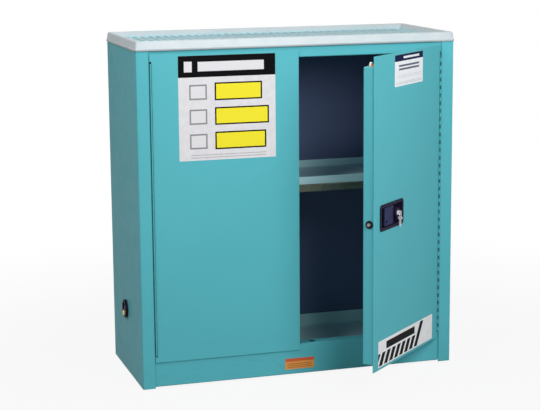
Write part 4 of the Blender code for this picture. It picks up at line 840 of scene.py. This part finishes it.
class CABINET_OT_labels(bpy.types.Operator):
    """Put the plain label plates on the doors and the kick panel"""

    bl_idname = "cabinet.labels"
    bl_label = "Label plates"

    def execute(self, context):
        sizes = context.scene.cabinet_labels
        for plate, face in zip(PLATES, (self.large, self.small, self.strip, self.kick)):
            label(*plate, face(sizes).done(), sizes)
        return {"FINISHED"}

    def large(self, sizes):
        """A dark head with two pale fields, three rows of a square and a yellow bar, both
        outlined, and two thin lines at the foot."""
        face = Print("big_label_vinyl", sizes.paper)
        face.bar(sizes.ink, 0, 1, 0.795, 1.0)
        face.bar(sizes.paper, 0.06, 0.14, 0.845, 0.945)
        face.bar(sizes.paper, 0.2, 0.88, 0.85, 0.94)
        for low, right in ((0.57, 0.86), (0.335, 0.93), (0.1, 0.9)):
            face.bar(sizes.ink, 0.37, right, low, low + 0.17)
            face.bar(sizes.yellow, 0.385, right - 0.015, low + 0.014, low + 0.156)
            face.bar(GREY, 0.11, 0.29, low + 0.01, low + 0.155)
            face.bar(sizes.paper, 0.125, 0.275, low + 0.025, low + 0.14)
        face.lines(GREY, (0.12, 0.9, 0.022, 0.072), 2, 0.35, 0.55)
        return face

    def small(self, sizes):
        """A navy head with a pale field, two bold lines and two pairs of thin ones."""
        face = Print("small_label_vinyl", (0.82, 0.84, 0.88))
        face.bar(sizes.navy, 0, 1, 0.79, 1.0)
        face.bar((0.8, 0.82, 0.86), 0.3, 0.86, 0.86, 0.93)
        face.lines(sizes.navy, (0.14, 0.86, 0.5, 0.72), 2, 0.55, 0.85)
        face.lines(GREY, (0.08, 0.92, 0.26, 0.38), 2, 0.3, 0.35)
        face.lines(GREY, (0.05, 0.95, 0.06, 0.16), 2, 0.35, 0.5)
        return face

    def strip(self, sizes):
        """Short slanted bars under a dark field, and a tall one after them, which takes the place
        of the next bar."""
        face = Print("strip_label_vinyl", (0.86, 0.86, 0.87))
        count, lean, share, tall = 11, 1.5, 0.66, 7
        face.slanted(sizes.ink, (0, 0.75, 0.05, 0.52), count, lean, share, tall)
        only = count / tall, lean / tall, share / tall
        face.slanted(sizes.ink, (0.6, 0.9, 0.05, 0.95), *only, 2)
        face.bar(sizes.ink, 0.14, 0.66, 0.6, 0.88)
        return face

    def kick(self, sizes):
        """A red head over three dark lines."""
        face = Print("kick_label_vinyl", sizes.orange)
        face.bar(sizes.red, 0, 1, 0.72, 1.0)
        face.lines(sizes.ink, (0.08, 0.92, 0.14, 0.62), 3, 0.35, 0.5)
        return face


SCREW_PLACE = (0.164, 0.197)  # its y and z


class CABINET_OT_earth_screw(bpy.types.Operator):
    """Fit the earth screw beside the low vent"""

    bl_idname = "cabinet.earth_screw"
    bl_label = "Earth screw"

    def execute(self, context):
        """The hexagon is the turned head drawn in by the cosine of half a flat's angle over the
        cosine of the turn from that flat's middle; the washer under it stays round."""
        sizes, zinc = context.scene.cabinet_fittings, context.scene.cabinet_metal.zinc
        radius, rise = sizes.screw, sizes.screw_rise
        washer, seat = radius * 1.35, 1.1 * MM
        profile = [
            (0.05 * MM, 0),
            (washer, 0),
            (washer, 0.9 * MM),
            (radius * 1.28, seat),
            (radius, seat),
            (radius, rise - 0.6 * MM),
            (radius * 0.86, rise),
            (0.3 * MM, rise + 0.15 * MM),
        ]
        points, faces = turned(profile)
        turn = np.arctan2(points[:, 1], points[:, 0])
        flats = np.cos(math.pi / 6) / np.cos(np.mod(turn, math.pi / 3) - math.pi / 6)
        away = np.hypot(points[:, 0], points[:, 1])
        stays = (away > radius * 1.1) | (points[:, 2] < seat - 0.05 * MM)
        points[:, :2] *= np.where(stays, 1.0, flats)[:, None]
        place = Matrix.Translation((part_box("left_side_panel")[0].x, *SCREW_PLACE))
        points = placed(points, place @ Matrix.Rotation(-math.pi / 2, 4, "Y"))
        dark = metal("dark_zinc", shade(zinc, 0.3), 0.4, lustre=0.7)
        made = piece("earth_screw", (points, faces), "cabinet", dark, flat_over=25)
        return {"FINISHED"}


CAMERA_PLACE = (-1.59133, -4.92484, 1.5405)
CAMERA_YAW, CAMERA_PITCH, CAMERA_ROLL = 0.29662, 0.18337, -0.00822
LAMPS = (  # name, place, target, width of its disk
    ("key", (0.6, -2.5, 2.05), (0, 0, 1.3), 1.8),
    ("fill", (-1.6, -1.0, 2.6), (-0.5, 0.1, 1.1), 1.2),
    ("top", (0.2, 0.9, 3.4), (0, 0.1, 1.1), 2.0),
)
FLOOR_REACH, FLOOR_LINES = 40, 9
SHADE_NEAR, SHADE_FAR = 0.8, 2.6  # the shadow fades out between these distances from the origin
NEAR_GLOW = 0.91  # share of plain white in the floor near the case; the rest shows the shadow
WHITE = (1, 1, 1)


class CABINET_OT_stage(bpy.types.Operator):
    """Set the camera, the pale floor and the studio light"""

    bl_idname = "cabinet.stage"
    bl_label = "Stage"

    def execute(self, context):
        sizes, scene = context.scene.cabinet_stage, context.scene
        self.camera(scene, sizes)
        for name, place, target, width in LAMPS:
            self.lamp(f"{name}_lamp", place, target, width, getattr(sizes, name))
        self.floor(sizes)
        self.sky(scene, sizes)
        scene.view_settings.view_transform = "Standard"
        return {"FINISHED"}

    def camera(self, scene, sizes):
        """Looks along the yaw from the case's depth and down by the pitch, then rolls."""
        cos, sin = math.cos, math.sin
        yaw, pitch, roll = CAMERA_YAW, CAMERA_PITCH, CAMERA_ROLL
        ahead = Vector((sin(yaw) * cos(pitch), cos(yaw) * cos(pitch), -sin(pitch)))
        right = Vector((cos(yaw), -sin(yaw), 0))
        up = right.cross(ahead)
        across, above = right * cos(roll) + up * sin(roll), up * cos(roll) - right * sin(roll)
        lens = bpy.data.cameras.new("camera")
        lens.lens = sizes.lens
        lens.sensor_width = 36
        lens.sensor_fit = "HORIZONTAL"
        lens.clip_end = 200
        camera = bpy.data.objects.new("camera", lens)
        turn = Matrix((across, above, -ahead)).transposed().to_4x4()
        camera.matrix_world = Matrix.Translation(CAMERA_PLACE) @ turn
        scene.collection.objects.link(camera)
        scene.camera = camera

    def lamp(self, name, place, target, width, watts):
        light = bpy.data.lights.new(name, "AREA")
        light.shape = "DISK"
        light.size = width
        light.energy = watts
        made = bpy.data.objects.new(name, light)
        made.visible_camera = False
        aim = (Vector(target) - Vector(place)).to_track_quat("-Z", "Y")
        made.matrix_world = Matrix.Translation(place) @ aim.to_matrix().to_4x4()
        bpy.context.scene.collection.objects.link(made)

    def floor(self, sizes):
        """A level grid. Rays that show the background see it mostly as plain white."""
        reach = np.linspace(-FLOOR_REACH, FLOOR_REACH, FLOOR_LINES)
        x, y = np.meshgrid(reach, reach)
        points = np.column_stack([x.ravel(), y.ravel(), np.zeros(x.size)])
        mesh = bpy.data.meshes.new("floor")
        mesh.from_pydata(points.tolist(), [], grid_faces(FLOOR_LINES, FLOOR_LINES).tolist())
        floor = bpy.data.objects.new("floor", mesh)
        bpy.context.scene.collection.objects.link(floor)
        finish = Finish("floor_paper", roughness=0.9)
        finish.set(Base_Color=finish.tinted(sizes.floor, finish.mottle(3, 0.985, 1.0)))
        away = finish.vector("LENGTH", finish.here(), output="Value")
        far = finish.between(away, SHADE_NEAR, SHADE_FAR, NEAR_GLOW)
        glow = finish.add("ShaderNodeEmission", {"Color": WHITE, "Strength": 1.0})
        share = finish.math("MULTIPLY", far, finish.backdrop())
        surfaces = {0: share, 1: finish.shader.outputs[0], 2: glow}
        shown = finish.add("ShaderNodeMixShader", surfaces)
        finish.feed(finish.tree.nodes["Material Output"].inputs["Surface"], shown)
        mesh.materials.append(finish.material)

    def sky(self, scene, sizes):
        """An even light, which rays that show the background see at full strength."""
        world = bpy.data.worlds.new("studio")
        world.use_nodes = True
        wiring = Wiring(world.node_tree)
        back = wiring.tree.nodes["Background"]
        level = wiring.math("MULTIPLY_ADD", wiring.backdrop(), 1 - sizes.sky, sizes.sky)
        wiring.feed(back.inputs["Color"], WHITE)
        wiring.feed(back.inputs["Strength"], level)
        scene.world = world


class CABINET_PT_panel(bpy.types.Panel):
    """Lists what the cabinet's dressing makes, in order, and its sizes and colours"""

    bl_label = "Safety cabinet"
    bl_idname = "CABINET_PT_panel"
    bl_space_type = "VIEW_3D"
    bl_region_type = "UI"
    bl_category = "Cabinet"

    def draw(self, context):
        for operator in OPERATORS:
            self.layout.operator(operator.bl_idname)
        for name in GROUPS:
            group = getattr(context.scene, name)
            box = self.layout.box()
            for key in group.__annotations__:
                box.prop(group, key)


GROUPS = {
    "cabinet_paint": PaintSizes,
    "cabinet_plastic": PlasticSizes,
    "cabinet_metal": MetalSizes,
    "cabinet_tray": TraySizes,
    "cabinet_labels": LabelSizes,
    "cabinet_fittings": FittingSizes,
    "cabinet_stage": StageSizes,
}
OPERATORS = (
    CABINET_OT_finishes,
    CABINET_OT_top_tray,
    CABINET_OT_labels,
    CABINET_OT_earth_screw,
    CABINET_OT_stage,
)
CLASSES = (*GROUPS.values(), *OPERATORS, CABINET_PT_panel)


def register():
    for made in CLASSES:
        bpy.utils.register_class(made)
    for name, group in GROUPS.items():
        setattr(bpy.types.Scene, name, PointerProperty(type=group))


def unregister():
    for name in GROUPS:
        delattr(bpy.types.Scene, name)
    for made in reversed(CLASSES):
        bpy.utils.unregister_class(made)


def main():
    register()
    bpy.ops.cabinet.finishes()
    bpy.ops.cabinet.top_tray()
    bpy.ops.cabinet.labels()
    bpy.ops.cabinet.earth_screw()
    bpy.ops.cabinet.stage()
    bpy.context.view_layer.update()


if __name__ == "__main__":
    main()
